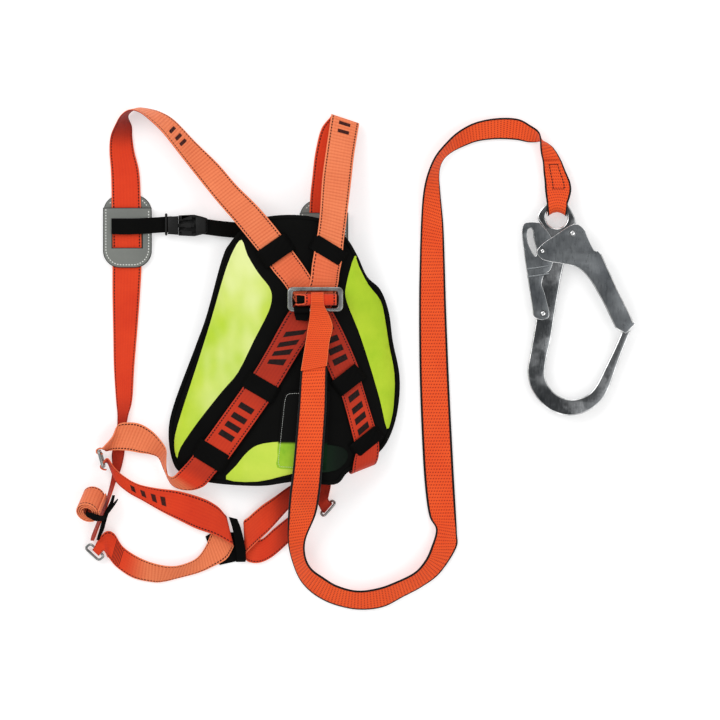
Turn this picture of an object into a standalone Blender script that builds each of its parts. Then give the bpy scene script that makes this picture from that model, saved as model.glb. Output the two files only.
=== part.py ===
"""Full-body safety harness with back pad, dorsal ring and webbing lanyard with a scaffold hook.

The harness lies flat on a surface at z = 0, back side up. +X is the harness's right as seen from
above, +Y points to the shoulders. Lengths in this file are millimetres and are scaled to metres
when a mesh is made.
"""

import math

import bmesh
import bpy
from mathutils import Matrix, Vector

MM = 0.001

# Driving dimensions
WEB_T = 2.0            # thickness of the harness webbing
LANYARD_T = 2.2        # thickness of the lanyard webbing
WEB_STEPS = 3          # sections between two stations of a webbing strip
PAD_T = 12.0           # back pad thickness
PIPING_R = 3.0         # piping radius
PAD_INSET = 4.7        # from the cover's outline to the edge of the padding
GAP = 0.4              # gap between touching layers

# Heights of the layers that lie on the pad, above its top face
PANEL_Z = (GAP, 1.9)
POCKET_Z = (2.3, 3.3)
STRAP_LOW_Z = (2.3, 4.3)
STRAP_HIGH_Z = (4.7, 6.7)
KEEPER_Z = (7.1, 8.9)

# The pad is arched over the webbing below it: height of its underside along X
ARCH = (
    (-105, 0.0), (-60, 13.0), (-20, 25.0), (20, 34.0), (60, 41.0),
    (100, 45.0), (130, 43.0), (160, 34.0), (190, 20.0), (235, 0.0),
)

# Dorsal ring
RING_X = (71.5, 143.5)
RING_Y = (48.5, 77.5)
RING_Z = 70.0
RING_R = 2.5
RING_CORNER = 5.0
ROLL_X = (80.0, 137.0)
ROLL_Y = 62.5
ROLL_Z = 76.0
ROLL_R = 7.0

# Chest sliders
SLIDER_W = 68.0
SLIDER_L = 102.0
SLIDER_T = 2.5
SLIDER_LEFT = (-156.0, 159.0)
SLIDER_RIGHT = (119.0, 152.0)
TUNNEL_Z = (3.0, 5.9)
CHEST_Z = 9.9          # mid height of the chest strap

# Scaffold hook
HOOK_Z = 13.0          # mid plane of the hook
FRAME_T = 10.0
LEVER_Z = (5.5, 7.5)
GATE_Z = (8.0, 10.2)
EYE = (444.0, 178.0)
EYE_R = 15.0
EYE_BAR_Y = 197.5      # middle of the bar that the webbing is sewn round
EYE_LOOP_R = 11.2
GATE_PIVOT = (466.0, 156.0)
GATE_STUD = (424.0, 131.0)
LEVER_PIVOT = (425.0, 44.0)
RIVET_R = 4.0

COLOURS = {
    "webbing_orange": ((0.80, 0.13, 0.03), 0.75, 0.0),
    "webbing_lanyard": ((0.83, 0.10, 0.02), 0.7, 0.0),
    "webbing_black": ((0.01, 0.01, 0.01), 0.8, 0.0),
    "pad_black": ((0.012, 0.014, 0.013), 0.85, 0.0),
    "hi_vis_lime": ((0.42, 0.72, 0.04), 0.6, 0.0),
    "slider_grey": ((0.17, 0.18, 0.17), 0.6, 0.0),
    "buckle_black": ((0.012, 0.012, 0.012), 0.4, 0.0),
    "steel": ((0.45, 0.46, 0.46), 0.3, 1.0),
    "hook_alloy": ((0.30, 0.32, 0.33), 0.35, 1.0),
}


def arch(x):
    """Height of the pad's underside at x."""
    for (x0, z0), (x1, z1) in zip(ARCH, ARCH[1:]):
        if x <= x1:
            t = max(0.0, (x - x0) / (x1 - x0))
            return z0 + (z1 - z0) * t
    return ARCH[-1][1]


def clear_scene():
    for obj in list(bpy.data.objects):
        bpy.data.objects.remove(obj, do_unlink=True)


def make_collection(name):
    collection = bpy.data.collections.new(name)
    bpy.context.scene.collection.children.link(collection)
    return collection


def material(name):
    found = bpy.data.materials.get(name)
    if found:
        return found
    colour, roughness, metallic = COLOURS[name]
    made = bpy.data.materials.new(name)
    made.use_nodes = True
    shader = made.node_tree.nodes["Principled BSDF"]
    shader.inputs["Base Color"].default_value = (*colour, 1.0)
    shader.inputs["Roughness"].default_value = roughness
    shader.inputs["Metallic"].default_value = metallic
    made.diffuse_color = (*colour, 1.0)
    return made


def add_object(name, mesh, mat, collection=None):
    obj = bpy.data.objects.new(name, mesh)
    (collection or PARTS).objects.link(obj)
    if mat:
        mesh.materials.clear()
        mesh.materials.append(material(mat))
    return obj


def smooth(points, steps, closed=False):
    """Catmull-Rom curve through the points, with steps sections for each span."""
    pts = [Vector(p) for p in points]
    count = len(pts)
    out = []
    for i in range(count if closed else count - 1):
        if closed:
            p0, p1, p2, p3 = (pts[(i + k - 1) % count] for k in range(4))
        else:
            p1, p2 = pts[i], pts[i + 1]
            p0 = pts[i - 1] if i else p1 * 2 - p2
            p3 = pts[i + 2] if i + 2 < count else p2 * 2 - p1
        for s in range(steps):
            t = s / steps
            out.append(0.5 * (2 * p1 + (p2 - p0) * t
                              + (2 * p0 - 5 * p1 + 4 * p2 - p3) * t ** 2
                              + (3 * p1 - p0 - 3 * p2 + p3) * t ** 3))
    if not closed:
        out.append(pts[-1])
    return out


def strip(name, mat, stations, thickness=WEB_T, steps=WEB_STEPS):
    """Webbing: an open strip lofted through stations (two edge points each), made solid."""
    edge_a = smooth([s[0:3] for s in stations], steps)
    edge_b = smooth([s[3:6] for s in stations], steps)
    bm = bmesh.new()
    rows = [(bm.verts.new(a * MM), bm.verts.new(b * MM)) for a, b in zip(edge_a, edge_b)]
    for (a0, b0), (a1, b1) in zip(rows, rows[1:]):
        bm.faces.new((a0, b0, b1, a1))
    mesh = bpy.data.meshes.new(name)
    bm.to_mesh(mesh)
    bm.free()
    obj = add_object(name, mesh, mat)
    shell = obj.modifiers.new("thickness", "SOLIDIFY")
    shell.thickness = thickness * MM
    shell.offset = 0.0
    return obj


def curve_mesh(name, curve):
    """Mesh of a curve, with its caps welded; the curve itself is removed."""
    guide = bpy.data.objects.new(name, curve)
    bpy.context.scene.collection.objects.link(guide)
    depsgraph = bpy.context.evaluated_depsgraph_get()
    mesh = bpy.data.meshes.new_from_object(guide.evaluated_get(depsgraph))
    bpy.data.objects.remove(guide, do_unlink=True)
    bm = bmesh.new()
    bm.from_mesh(mesh)
    bmesh.ops.remove_doubles(bm, verts=bm.verts, dist=0.000001)
    bmesh.ops.recalc_face_normals(bm, faces=bm.faces)
    bm.to_mesh(mesh)
    bm.free()
    mesh.name = name
    return mesh


def drape(mesh):
    """Cut the mesh at the arch's knots and lift it onto the arch."""
    bm = bmesh.new()
    bm.from_mesh(mesh)
    bmesh.ops.triangulate(bm, faces=bm.faces)
    for knot, _height in ARCH:
        geometry = list(bm.verts) + list(bm.edges) + list(bm.faces)
        bmesh.ops.bisect_plane(bm, geom=geometry, dist=0.0000001,
                               plane_co=(knot * MM, 0, 0), plane_no=(1, 0, 0))
    for vert in bm.verts:
        vert.co.z += arch(vert.co.x / MM) * MM
    bmesh.ops.recalc_face_normals(bm, faces=bm.faces)
    bm.to_mesh(mesh)
    bm.free()


def outline_mesh(name, outlines, z_range):
    """Flat solid from one outer outline and any holes, between two heights."""
    low, high = z_range
    curve = bpy.data.curves.new(name, "CURVE")
    curve.dimensions = "2D"
    curve.fill_mode = "BOTH"
    curve.extrude = (high - low) / 2 * MM
    for outline in outlines:
        spline = curve.splines.new("POLY")
        spline.points.add(len(outline) - 1)
        for point, corner in zip(spline.points, outline):
            point.co = (corner[0] * MM, corner[1] * MM, 0, 1)
        spline.use_cyclic_u = True
    mesh = curve_mesh(name, curve)
    mesh.transform(Matrix.Translation((0, 0, (low + high) / 2 * MM)))
    return mesh


def plate(name, mat, outlines, z_range, bevel=0.0):
    obj = add_object(name, outline_mesh(name, outlines, z_range), mat)
    if bevel:
        edge = obj.modifiers.new("edge", "BEVEL")
        edge.width = bevel * MM
        edge.segments = 2
        edge.limit_method = "ANGLE"
        edge.angle_limit = math.radians(50)
        edge.use_clamp_overlap = True
    return obj


def pad_plate(name, mat, outline, layer):
    """Flat piece that lies on the pad's top face, between two heights above it."""
    low, high = layer
    mesh = outline_mesh(name, [outline], (PAD_T + low, PAD_T + high))
    drape(mesh)
    return add_object(name, mesh, mat)


def tube(name, mat, points, radius, closed=False, resolution=2):
    curve = bpy.data.curves.new(name, "CURVE")
    curve.dimensions = "3D"
    curve.bevel_depth = radius * MM
    curve.bevel_resolution = resolution
    curve.use_fill_caps = True
    spline = curve.splines.new("POLY")
    spline.points.add(len(points) - 1)
    for point, place in zip(spline.points, points):
        point.co = (*(Vector(place) * MM), 1)
    spline.use_cyclic_u = closed
    obj = add_object(name, curve_mesh(name, curve), mat)
    obj.data.shade_smooth()
    return obj


def circle(centre, radius, count=24):
    return [(centre[0] + radius * math.cos(2 * math.pi * k / count),
             centre[1] + radius * math.sin(2 * math.pi * k / count)) for k in range(count)]


def rounded_box(centre, size, corner, arc=5):
    """Corner points of a rounded rectangle."""
    out = []
    half_x, half_y = size[0] / 2 - corner, size[1] / 2 - corner
    for quarter, (sx, sy) in enumerate(((1, 1), (-1, 1), (-1, -1), (1, -1))):
        for k in range(arc + 1):
            angle = math.pi / 2 * (quarter + k / arc)
            out.append((centre[0] + sx * half_x + corner * math.cos(angle),
                        centre[1] + sy * half_y + corner * math.sin(angle)))
    return out


def offset_outline(points, distance):
    """Closed outline moved outwards by distance, with mitred corners."""
    count = len(points)
    out = []
    for i in range(count):
        before, here, after = (Vector(points[(i + k) % count][:2]) for k in (-1, 0, 1))
        d0 = (here - before).normalized()
        d1 = (after - here).normalized()
        n0 = Vector((d0.y, -d0.x))
        n1 = Vector((d1.y, -d1.x))
        mitre = (n0 + n1).normalized()
        out.append(here + mitre * (distance / max(0.6, mitre.dot(n0))))
    return out


def boolean(obj, other, operation):
    """Apply a Boolean with other, which is then removed."""
    modifier = obj.modifiers.new("cut", "BOOLEAN")
    modifier.operation = operation
    modifier.object = other
    modifier.solver = "EXACT"
    depsgraph = bpy.context.evaluated_depsgraph_get()
    mesh = bpy.data.meshes.new_from_object(obj.evaluated_get(depsgraph))
    obj.modifiers.remove(modifier)
    obj.data = mesh
    bpy.data.objects.remove(other, do_unlink=True)


def union_of(name, mat, meshes):
    """One solid from overlapping meshes."""
    obj = add_object(name, meshes[0], mat)
    for mesh in meshes[1:]:
        boolean(obj, add_object("tool", mesh, mat, CUTTERS), "UNION")
    return obj


def turned(name, mat, profile, centre):
    """Solid of revolution about a vertical axis from (radius, z) points, top to bottom."""
    bm = bmesh.new()
    verts = [bm.verts.new((r * MM, 0, z * MM)) for r, z in profile]
    for a, b in zip(verts, verts[1:]):
        bm.edges.new((a, b))
    mesh = bpy.data.meshes.new(name)
    bm.to_mesh(mesh)
    bm.free()
    obj = add_object(name, mesh, mat)
    obj.location = Vector((centre[0], centre[1], HOOK_Z)) * MM
    screw = obj.modifiers.new("turn", "SCREW")
    screw.steps = 20
    screw.render_steps = 20
    screw.use_merge_vertices = True
    screw.merge_threshold = 0.00001
    return obj


def set_origin(obj, point):
    """Put the object's origin on point without moving its shape."""
    target = Vector(point) * MM
    obj.data.transform(Matrix.Translation(obj.location - target))
    obj.location = target


# ---------------------------------------------------------------- back pad

def pad_outline():
    corners = [
        (-22, 118), (-43, 42), (-60, -5), (-90, -85), (-97, -125), (-91, -163), (-76, -180),
        (-38, -191), (30, -195), (80, -189), (133, -193), (152, -176), (184, -158), (206, -135),
        (220, -95), (223.6, -45), (214, 5), (208.5, 45), (197, 76), (178, 95), (164, 125), (148, 150),
        (122, 171), (85, 179), (40, 177), (12, 165), (-10, 142),
    ]
    edge = [(p.x, p.y) for p in smooth([(x, y, 0) for x, y in corners], 3, closed=True)]
    return [(p.x, p.y) for p in offset_outline(edge, -PAD_INSET)]


def make_pad():
    outline = pad_outline()
    mesh = outline_mesh("back_pad", [outline], (0.3, PAD_T))
    drape(mesh)
    add_object("back_pad", mesh, "pad_black")

    ring = offset_outline(outline, PIPING_R + GAP)
    points = [(p.x, p.y, PAD_T / 2 + 0.3) for p in ring]
    piping = tube("pad_piping", "pad_black", points, PIPING_R, closed=True, resolution=1)
    for vert in piping.data.vertices:
        vert.co.z += arch(vert.co.x / MM) * MM


def make_panels():
    left = [
        (5, 146), (13, 125), (28, 100), (43, 81), (47, 66), (42, 45), (22, 6), (0, -38),
        (-22, -64), (-57, -108), (-81, -143), (-86, -158), (-90, -140), (-85, -111),
        (-57, -25), (-38, 35), (-19, 100), (-6, 133),
    ]
    right = [
        (162, 124), (150, 82), (151, 60), (167, 20), (182, -25), (197, -76), (207, -117),
        (214, -100), (217, -76), (217.5, -40), (210, 0), (204.5, 35), (198, 62), (181, 84), (168, 109),
    ]
    lower = [
        (-21, -189), (-3, -168), (15, -147), (35, -137), (75, -134), (75, -179), (27, -190),
    ]
    for name, outline in (("panel_left", left), ("panel_right", right), ("panel_lower", lower)):
        pad_plate("hi_vis_" + name, "hi_vis_lime", outline, PANEL_Z)
    pocket = [
        (128, -64), (66, -66), (62, -77), (57, -125), (53, -164), (58, -172), (122, -174), (125, -120),
    ]
    pad_plate("label_pocket", "pad_black", pocket, POCKET_Z)


def make_cross_straps():
    left_to_right = [
        (36.5, 119.5), (69, 77), (101, 22), (130, -45), (144, -71), (162, -137), (163, -146),
        (194, -124), (190, -113), (171, -50), (165, -25), (137, 36), (97, 101), (68.5, 141.5),
    ]
    right_to_left = [
        (108, 141.5), (97, 78), (70, 45), (22, -38), (6, -60), (-46, -132), (-55.5, -143.5),
        (-19.5, -165), (-10, -154), (42, -81), (57, -57), (92, 0), (126, 45), (138, 80), (145, 119),
    ]
    pad_plate("back_strap_left", "webbing_orange", left_to_right, STRAP_LOW_Z)
    pad_plate("back_strap_right", "webbing_orange", right_to_left, STRAP_HIGH_Z)


def band_outline(start, end, width):
    """Rectangle round the line from start to end."""
    a, b = Vector(start), Vector(end)
    side = (b - a).normalized() * width / 2
    side = Vector((-side.y, side.x))
    return [tuple(a - side), tuple(b - side), tuple(b + side), tuple(a + side)]


def make_keepers():
    bands = {
        "keeper_upper_left": ((31, 116), (73, 145), 27),
        "keeper_upper_right": ((102.5, 145), (149, 117), 22),
        "keeper_middle_left": ((9, -46), (54, -72), 24),
        "keeper_middle_right": ((135, -63), (172, -34), 25),
        "keeper_lower_left": ((-60, -141), (-15, -168), 27),
        "keeper_lower_right": ((159, -150), (198, -119), 21),
    }
    for name, (start, end, width) in bands.items():
        pad_plate(name, "webbing_black", band_outline(start, end, width), KEEPER_Z)


# ---------------------------------------------------------------- dorsal attachment

def arc_strip(name, mat, x_range, centre, radius, angles, tail=(), thickness=WEB_T, count=12):
    """Webbing bent round an axis along X, with an optional straight tail of stations."""
    first, last = (math.radians(a) for a in angles)
    stations = []
    for k in range(count + 1):
        angle = first + (last - first) * k / count
        y = centre[0] + radius * math.cos(angle)
        z = centre[1] + radius * math.sin(angle)
        stations.append((x_range[0], y, z, x_range[1], y, z))
    return strip(name, mat, stations + list(tail), thickness, steps=1)


def make_dorsal():
    centre = (sum(RING_X) / 2, sum(RING_Y) / 2)
    size = (RING_X[1] - RING_X[0], RING_Y[1] - RING_Y[0])
    path = [(x, y, RING_Z) for x, y in rounded_box(centre, size, RING_CORNER)]
    ring = tube("dorsal_ring", "steel", path, RING_R, closed=True)
    set_origin(ring, (centre[0], RING_Y[0], RING_Z))
    arc_strip("dorsal_webbing_loop", "webbing_orange", ROLL_X, (ROLL_Y, ROLL_Z), ROLL_R,
              (-118, 212), count=20)
    tail = [(79, 40, 67.4, 99, 39, 67.4), (81, 34, 67.4, 97, 33, 67.4)]
    arc_strip("ring_anchor_tab", "webbing_black", (78, 99.5), (RING_Y[0], RING_Z), 4.2,
              (-60, 215), tail, thickness=1.6)


# ---------------------------------------------------------------- harness webbing

def make_shoulder_straps():
    left = [
        (36, 120.4, 53.6, 68, 142.4, 59.2), (22, 138, 50, 54, 161, 56), (-4, 170, 44, 28, 192, 50.6),
        (-30, 200, 40, -2, 222, 40), (-55, 231, 37, -28, 252, 26), (-80, 263, 34, -60, 283, 14),
        (-104, 294, 36, -89, 313, 7), (-122, 312, 39, -108, 325, 4), (-137, 323.5, 41, -125, 330, 2.5),
        (-151, 326.5, 41.5, -143, 331, 2), (-163, 319, 40, -155, 321, 2), (-172, 305, 31, -150, 306, 2.5),
        (-179, 290, 19, -149, 290, 3), (-181, 270, 8, -146, 270, 4), (-179, 240, 4.4, -139, 240, 4.4),
        (-178, 193, 4.4, -137, 193, 4.4), (-177, 119, 4.4, -136, 119, 4.4), (-177, 75, 4.4, -138, 75, 4.4),
        (-176, 20, 3, -142, 20, 5), (-175, -30, 3, -146, -30, 8), (-172, -77, 3, -149, -77, 8),
        (-170, -100, 3, -155, -100, 6), (-172, -130, 3, -160, -130, 4), (-178, -152, 3, -160, -151, 4),
        (-177, -172, 3, -165, -174, 4), (-179, -190, 3, -172, -191, 6),
        (-184, -212, 5, -178.5, -211, 20), (-191.5, -232, 5, -185.5, -231, 24),
        (-201, -255, 4, -195, -254, 20),
        (-205.5, -267, 5, -200, -267, 17), (-207, -273.5, 6, -203, -273.5, 14),
    ]
    right = [
        (108, 142.4, 62.2, 145, 119.8, 56.4), (111, 158, 62, 147, 145, 56), (114, 185, 60, 151, 175, 54.5),
        (117, 231, 45, 157, 225, 43), (122, 270, 34, 161, 262, 32), (127, 305, 23, 166, 294, 22),
        (129, 319, 17, 168, 306, 16), (129, 322, 12, 168, 309, 11.5), (128, 319, 7.5, 167, 306, 7.5),
        (115, 302, 5, 154, 287, 5), (107, 270, 4.4, 147, 262, 4.4), (103, 238, 4.4, 143, 238, 4.4),
        (99, 195, 4.4, 140, 195, 4.4), (98, 120, 4.4, 139, 120, 4.4), (99, 60, 4.4, 139, 60, 4.4),
        (103, 0, 4, 141, 0, 4), (106, -60, 4, 138, -60, 4), (108, -120, 4, 130, -120, 4),
        (112, -165, 4, 129, -165, 4), (112, -193, 4, 129, -193, 6), (110, -216, 6, 126, -209, 12),
    (112, -225, 8, 124, -216, 15),
    ]
    strip("shoulder_strap_left", "webbing_orange", left)
    strip("shoulder_strap_right", "webbing_orange", right)


def make_waist_straps():
    left = [
        (-56, -144.3, 31, -20.5, -165.8, 40.5), (-68, -160, 29, -34, -181, 37),
        (-83, -176, 27, -48, -197, 28), (-93, -184, 25, -69, -203, 14), (-101, -178, 27, -92, -197, 8),
        (-101, -160, 31, -104, -176, 8), (-101, -145, 31, -112, -158, 9),
        (-110, -131, 24, -124, -153, 11), (-122, -119, 18, -138, -151, 12),
        (-138, -110, 15, -154, -148, 13), (-154, -108, 15, -170, -147, 14), (-168, -111, 18, -181, -148, 14),
        (-175, -127, 24, -186, -148.5, 12), (-188, -142.5, 32, -188.5, -146.5, 9),
        (-191.5, -144.4, 33, -191.5, -144.6, 9), (-194.5, -144.4, 33, -194.5, -144.4, 9),
        (-197.3, -146.6, 33, -197.3, -146.6, 9), (-197.3, -149.8, 33, -197.3, -149.8, 9),
        (-194.5, -152, 33, -194.5, -152, 9), (-190, -151.8, 32, -190, -151.8, 10),
    ]
    right = [
        (164.5, -147.5, 48.3, 194.5, -124.5, 34.3), (160, -162, 50.2, 196, -142, 34.5),
        (158, -174, 50.5, 194, -156, 34.5), (157, -181.5, 46, 192, -166, 30), (156, -184, 36, 191, -170, 22),
        (154, -182, 24, 187, -168, 13), (151, -172, 12, 180, -158, 6), (150, -158, 6, 168, -146, 4),
    ]
    strip("waist_strap_left", "webbing_orange", left)
    strip("waist_strap_right", "webbing_orange", right)


def make_leg_straps():
    left = [
        (-184.5, -174.2, 27, -184.5, -174.2, 12), (-188.4, -173.6, 28, -188.4, -173.6, 11),
    (-191.8, -171.4, 28, -191.8, -171.4, 11), (-192, -168, 28, -192, -168, 11),
    (-189.2, -165.4, 29, -189.2, -165.6, 11), (-182.5, -158, 29, -182.5, -166, 12),
    (-173, -171, 25, -172, -190, 12), (-160, -183, 19, -155, -206, 9),
        (-141, -194, 13, -134, -218, 8), (-115, -200, 10, -108, -233, 8), (-84, -204, 10, -84, -245, 10),
        (-50, -214, 11, -59, -257, 11), (-30, -225, 11.5, -33, -266, 11.5), (-20, -236, 11, -12, -277, 11),
        (-18, -240, 7, -8, -281, 7), (-21, -242, 4, -9, -286, 4),
        (-36, -258, 3.4, -18, -300, 3.4), (-46, -280, 5, -38, -311, 3.4), (-58, -297, 10, -57, -319, 3),
        (-76, -306, 14, -84, -326, 3), (-95, -309, 14, -104, -331, 3), (-118, -305, 12, -120, -332, 2.5),
        (-141, -296, 8, -148, -326, 3), (-162, -282, 5, -171, -311, 3), (-174, -264, 5, -182, -298, 5),
        (-184, -260, 8, -183.5, -297, 8), (-192, -266, 12, -185.5, -291, 15.6),
        (-198, -275, 15.2, -189.5, -287, 15.6), (-202.1, -283.1, 14.8, -192.9, -291.7, 14.8),
        (-204.4, -285.6, 12, -195.2, -294.2, 12), (-202.1, -283.1, 9.2, -192.9, -291.7, 9.2),
        (-197, -277.6, 7, -187.8, -286.2, 7),
    ]
    right = [
        (116, -170, 15, 128, -186, 15), (92, -186, 12, 100, -204, 12), (71, -197, 9, 74, -225, 9),
        (50, -212, 9, 44, -258, 9), (31, -225, 9, 25, -276, 9), (14, -240, 9, 13, -288, 9),
        (7, -247, 6, 9, -294, 6), (14, -262, 3.4, 12, -303, 3.4), (30, -272, 3.4, 28, -305, 3.4),
        (50, -256, 3.4, 46, -297, 3.4), (70, -240, 3.4, 68, -278, 3.4), (88, -228, 3.4, 88, -258, 3.4),
        (98, -223, 3.4, 101, -240, 3.4),
    ]
    strip("leg_strap_left", "webbing_orange", left)
    strip("leg_strap_right", "webbing_orange", right)
    base = [(-47, -268), (-37, -262), (3, -262), (10, -296), (4, -301), (-27, -308), (-40, -288)]
    plate("leg_link_base", "webbing_black", [base], (0.0, 1.5))
    band = [
        (-14, -240, 13.6, -2, -243, 13.6), (-9, -256, 13.8, 3, -256, 13.8), (-5, -276, 13.8, 8, -276, 13.8),
        (-3, -297, 13.2, 11, -297, 13.2), (-3, -312, 8, 12, -310, 8), (-4, -316, 4, 11, -314, 4),
    ]
    strip("leg_link_band", "webbing_black", band, thickness=1.6)


def frame_path(centre, along, across, corner):
    """Closed rounded-rectangle path in the plane of two half-side vectors."""
    u, v = Vector(along), Vector(across)
    flat = rounded_box((0, 0), (2 * u.length, 2 * v.length), corner, arc=4)
    return [Vector(centre) + u.normalized() * x + v.normalized() * y for x, y in flat]


def make_buckles():
    frames = {
        "hip_ring_left": ((-191.2, -158.9, 22), (-2.8, 10.6, 0), (0, 0, 18), 2.0),
        "hip_ring_right": ((147, -132, 16), (9, 9, 0), (0, 0, 12.5), 2.0),
        "leg_buckle_left": ((-201.5, -289.5, 8.5), (9.5, -8.8, 0), (4, 3.2, 3.5), 1.7),
        "leg_buckle_right": ((124.6, -228.2, 9), (8.2, 9.3, 0), (2.4, -2.1, 5), 1.7),
    }
    for name, (centre, along, across, radius) in frames.items():
        path = frame_path(centre, along, across, 4.0)
        tube(name, "steel", path, radius, closed=True, resolution=1)


def make_surplus_roll(name, centre, axis):
    """Rolled-up webbing end: a spiral strip with its width along axis."""
    turns, inner, pitch, width = 3.6, 6.5, 2.9, 40.0
    w = Vector(axis).normalized()
    u = w.cross(Vector((0, 0, 1))).normalized()
    v = w.cross(u)
    stations = []
    count = int(turns * 14)
    for k in range(count + 1):
        angle = 2 * math.pi * turns * k / count
        radius = inner + pitch * angle / (2 * math.pi)
        middle = Vector(centre) + u * radius * math.cos(angle) + v * radius * math.sin(angle)
        stations.append((*(middle - w * width / 2), *(middle + w * width / 2)))
    return strip(name, "webbing_orange", stations, steps=1)


def make_surplus():
    make_surplus_roll("surplus_roll_left", (-205.4, -221.3, 28.9), (-0.22, -0.6, 0.77))
    make_surplus_roll("surplus_roll_right", (60, -120, 18.5), (0.2, 1.0, 0.0))
    band = [
        (-211.1, -232.2, 38.5, -209.3, -227.2, 42), (-211, -237.4, 43.4, -208.6, -231.8, 47.6),
        (-204.8, -241.6, 43, -202, -233.6, 50), (-197.6, -244.8, 42.6, -194.6, -236.6, 49.8),
        (-192.8, -245, 38.4, -190.2, -237.4, 44.4), (-187.6, -244.2, 34.2, -187, -237, 38.6),
        (-181.4, -235.8, 32, -185, -232.4, 33), (-173.6, -225.4, 28.6, -176.6, -222.8, 29),
        (-167.4, -215.4, 25.6, -169, -214.4, 25.8),
    ]
    strip("roll_tie_left", "webbing_black", band, thickness=1.4)
    tail = [
        (-176.4, -210, 18, -172.6, -210, 18), (-179.5, -220, 25, -174.5, -220, 25),
        (-186, -232, 27.6, -180, -232, 27.6), (-190.6, -246, 29.4, -184.2, -246, 29.4),
        (-194, -258, 26.6, -187.6, -258, 26.6), (-198.4, -272, 20, -194.6, -272, 20),
    ]
    strip("roll_tie_tail_left", "webbing_black", tail, thickness=1.4)


# ---------------------------------------------------------------- chest strap

def make_slider(side, centre):
    cx, cy = centre
    outline = rounded_box(centre, (SLIDER_W, SLIDER_L), 24)
    plate(f"chest_slider_{side}_back", "slider_grey", [outline], (0.0, SLIDER_T))
    low = cy - SLIDER_L / 2
    top = cy + 33
    half = SLIDER_W / 2
    cover = [(cx + half, top), (cx - half, top)] + [p for p in outline if p[1] < cy]
    window = [(cx - 21, low + 28), (cx + 21, low + 28), (cx + 21, low + 68), (cx - 21, low + 68)]
    front_z = (TUNNEL_Z[1], TUNNEL_Z[1] + SLIDER_T)
    meshes = [outline_mesh("cover", [cover, window], front_z)]
    for sign in (-1, 1):
        edge = sorted((cx + sign * 26.5, cx + sign * (half - 1)))
        rail = [(edge[0], low + 26), (edge[1], low + 26), (edge[1], top - 2), (edge[0], top - 2)]
        meshes.append(outline_mesh("rail", [rail], (TUNNEL_Z[0], TUNNEL_Z[1] + 1)))
    union_of(f"chest_slider_{side}_front", "slider_grey", meshes)


def make_chest_strap():
    z = CHEST_Z
    left = [(-178, 155, z, -178, 176, z), (-150, 154.5, z, -150, 176.5, z), (-93, 158, z, -93, 180, z)]
    right = [
        (-52, 155, z, -52, 177, z), (-10, 150, z, -10, 172, z), (60, 146, z, 60, 168, z),
        (126, 144, z, 126, 166, z),
    ]
    strip("chest_strap_left", "webbing_black", left, thickness=1.6)
    strip("chest_strap_right", "webbing_black", right, thickness=1.6)
    loop = [(-101.5, y, h) for y, h in rounded_box((168.5, z), (28, 8), 3, arc=3)]
    tube("chest_strap_keeper", "buckle_black", loop, 1.6, closed=True, resolution=1)


def make_chest_buckle():
    z = CHEST_Z
    mid = 167.0
    shell = outline_mesh("body", [[
        (-84, mid - 14), (-62, mid - 15), (-50, mid - 12), (-44, mid - 10),
        (-44, mid + 10), (-50, mid + 12), (-62, mid + 15), (-84, mid + 14)]], (z - 6, z + 6))
    body = add_object("chest_buckle_socket", shell, "buckle_black")
    hollow = [(-90, mid - 11), (-60, mid - 11), (-60, mid + 11), (-90, mid + 11)]
    boolean(body, add_object("tool", outline_mesh("t", [hollow], (z - 3.6, z + 3.6)), None, CUTTERS),
            "DIFFERENCE")
    ports = [(-79, mid - 20), (-66, mid - 20), (-66, mid + 20), (-79, mid + 20)]
    boolean(body, add_object("tool", outline_mesh("t", [ports], (z - 3.6, z + 3.6)), None, CUTTERS),
            "DIFFERENCE")
    slot = [(-58, mid - 13), (-40, mid - 13), (-40, mid + 13), (-58, mid + 13)]
    boolean(body, add_object("tool", outline_mesh("t", [slot], (z - 1.4, z + 1.4)), None, CUTTERS),
            "DIFFERENCE")

    base = outline_mesh("base", [[
        (-99, mid - 12), (-86, mid - 13), (-84.6, mid - 13), (-84.6, mid + 13), (-86, mid + 13),
        (-99, mid + 12)]], (z - 4.5, z + 4.5))
    guide = outline_mesh("guide", [[
        (-86, mid - 2.5), (-62, mid - 2), (-62, mid + 2), (-86, mid + 2.5)]], (z - 2, z + 2))
    plug = union_of("chest_buckle_plug", "buckle_black", [base, guide])
    slot = [(-102, mid - 11.6), (-89, mid - 11.6), (-89, mid + 11.6 + 3), (-102, mid + 11.6 + 3)]
    boolean(plug, add_object("tool", outline_mesh("t", [slot], (z - 1.4, z + 1.4)), None, CUTTERS),
            "DIFFERENCE")
    for side, sign in (("upper", 1), ("lower", -1)):
        outline = [
            (-84.2, mid + sign * 6), (-84.2, mid + sign * 9), (-78, mid + sign * 10.5),
            (-75, mid + sign * 13.5), (-69, mid + sign * 13.5), (-67, mid + sign * 8),
        ]
        arm = plate("chest_buckle_arm_" + side, "buckle_black", [outline], (z - 3, z + 3))
        set_origin(arm, (-84.2, mid + sign * 7.5, z))


# ---------------------------------------------------------------- lanyard

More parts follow.
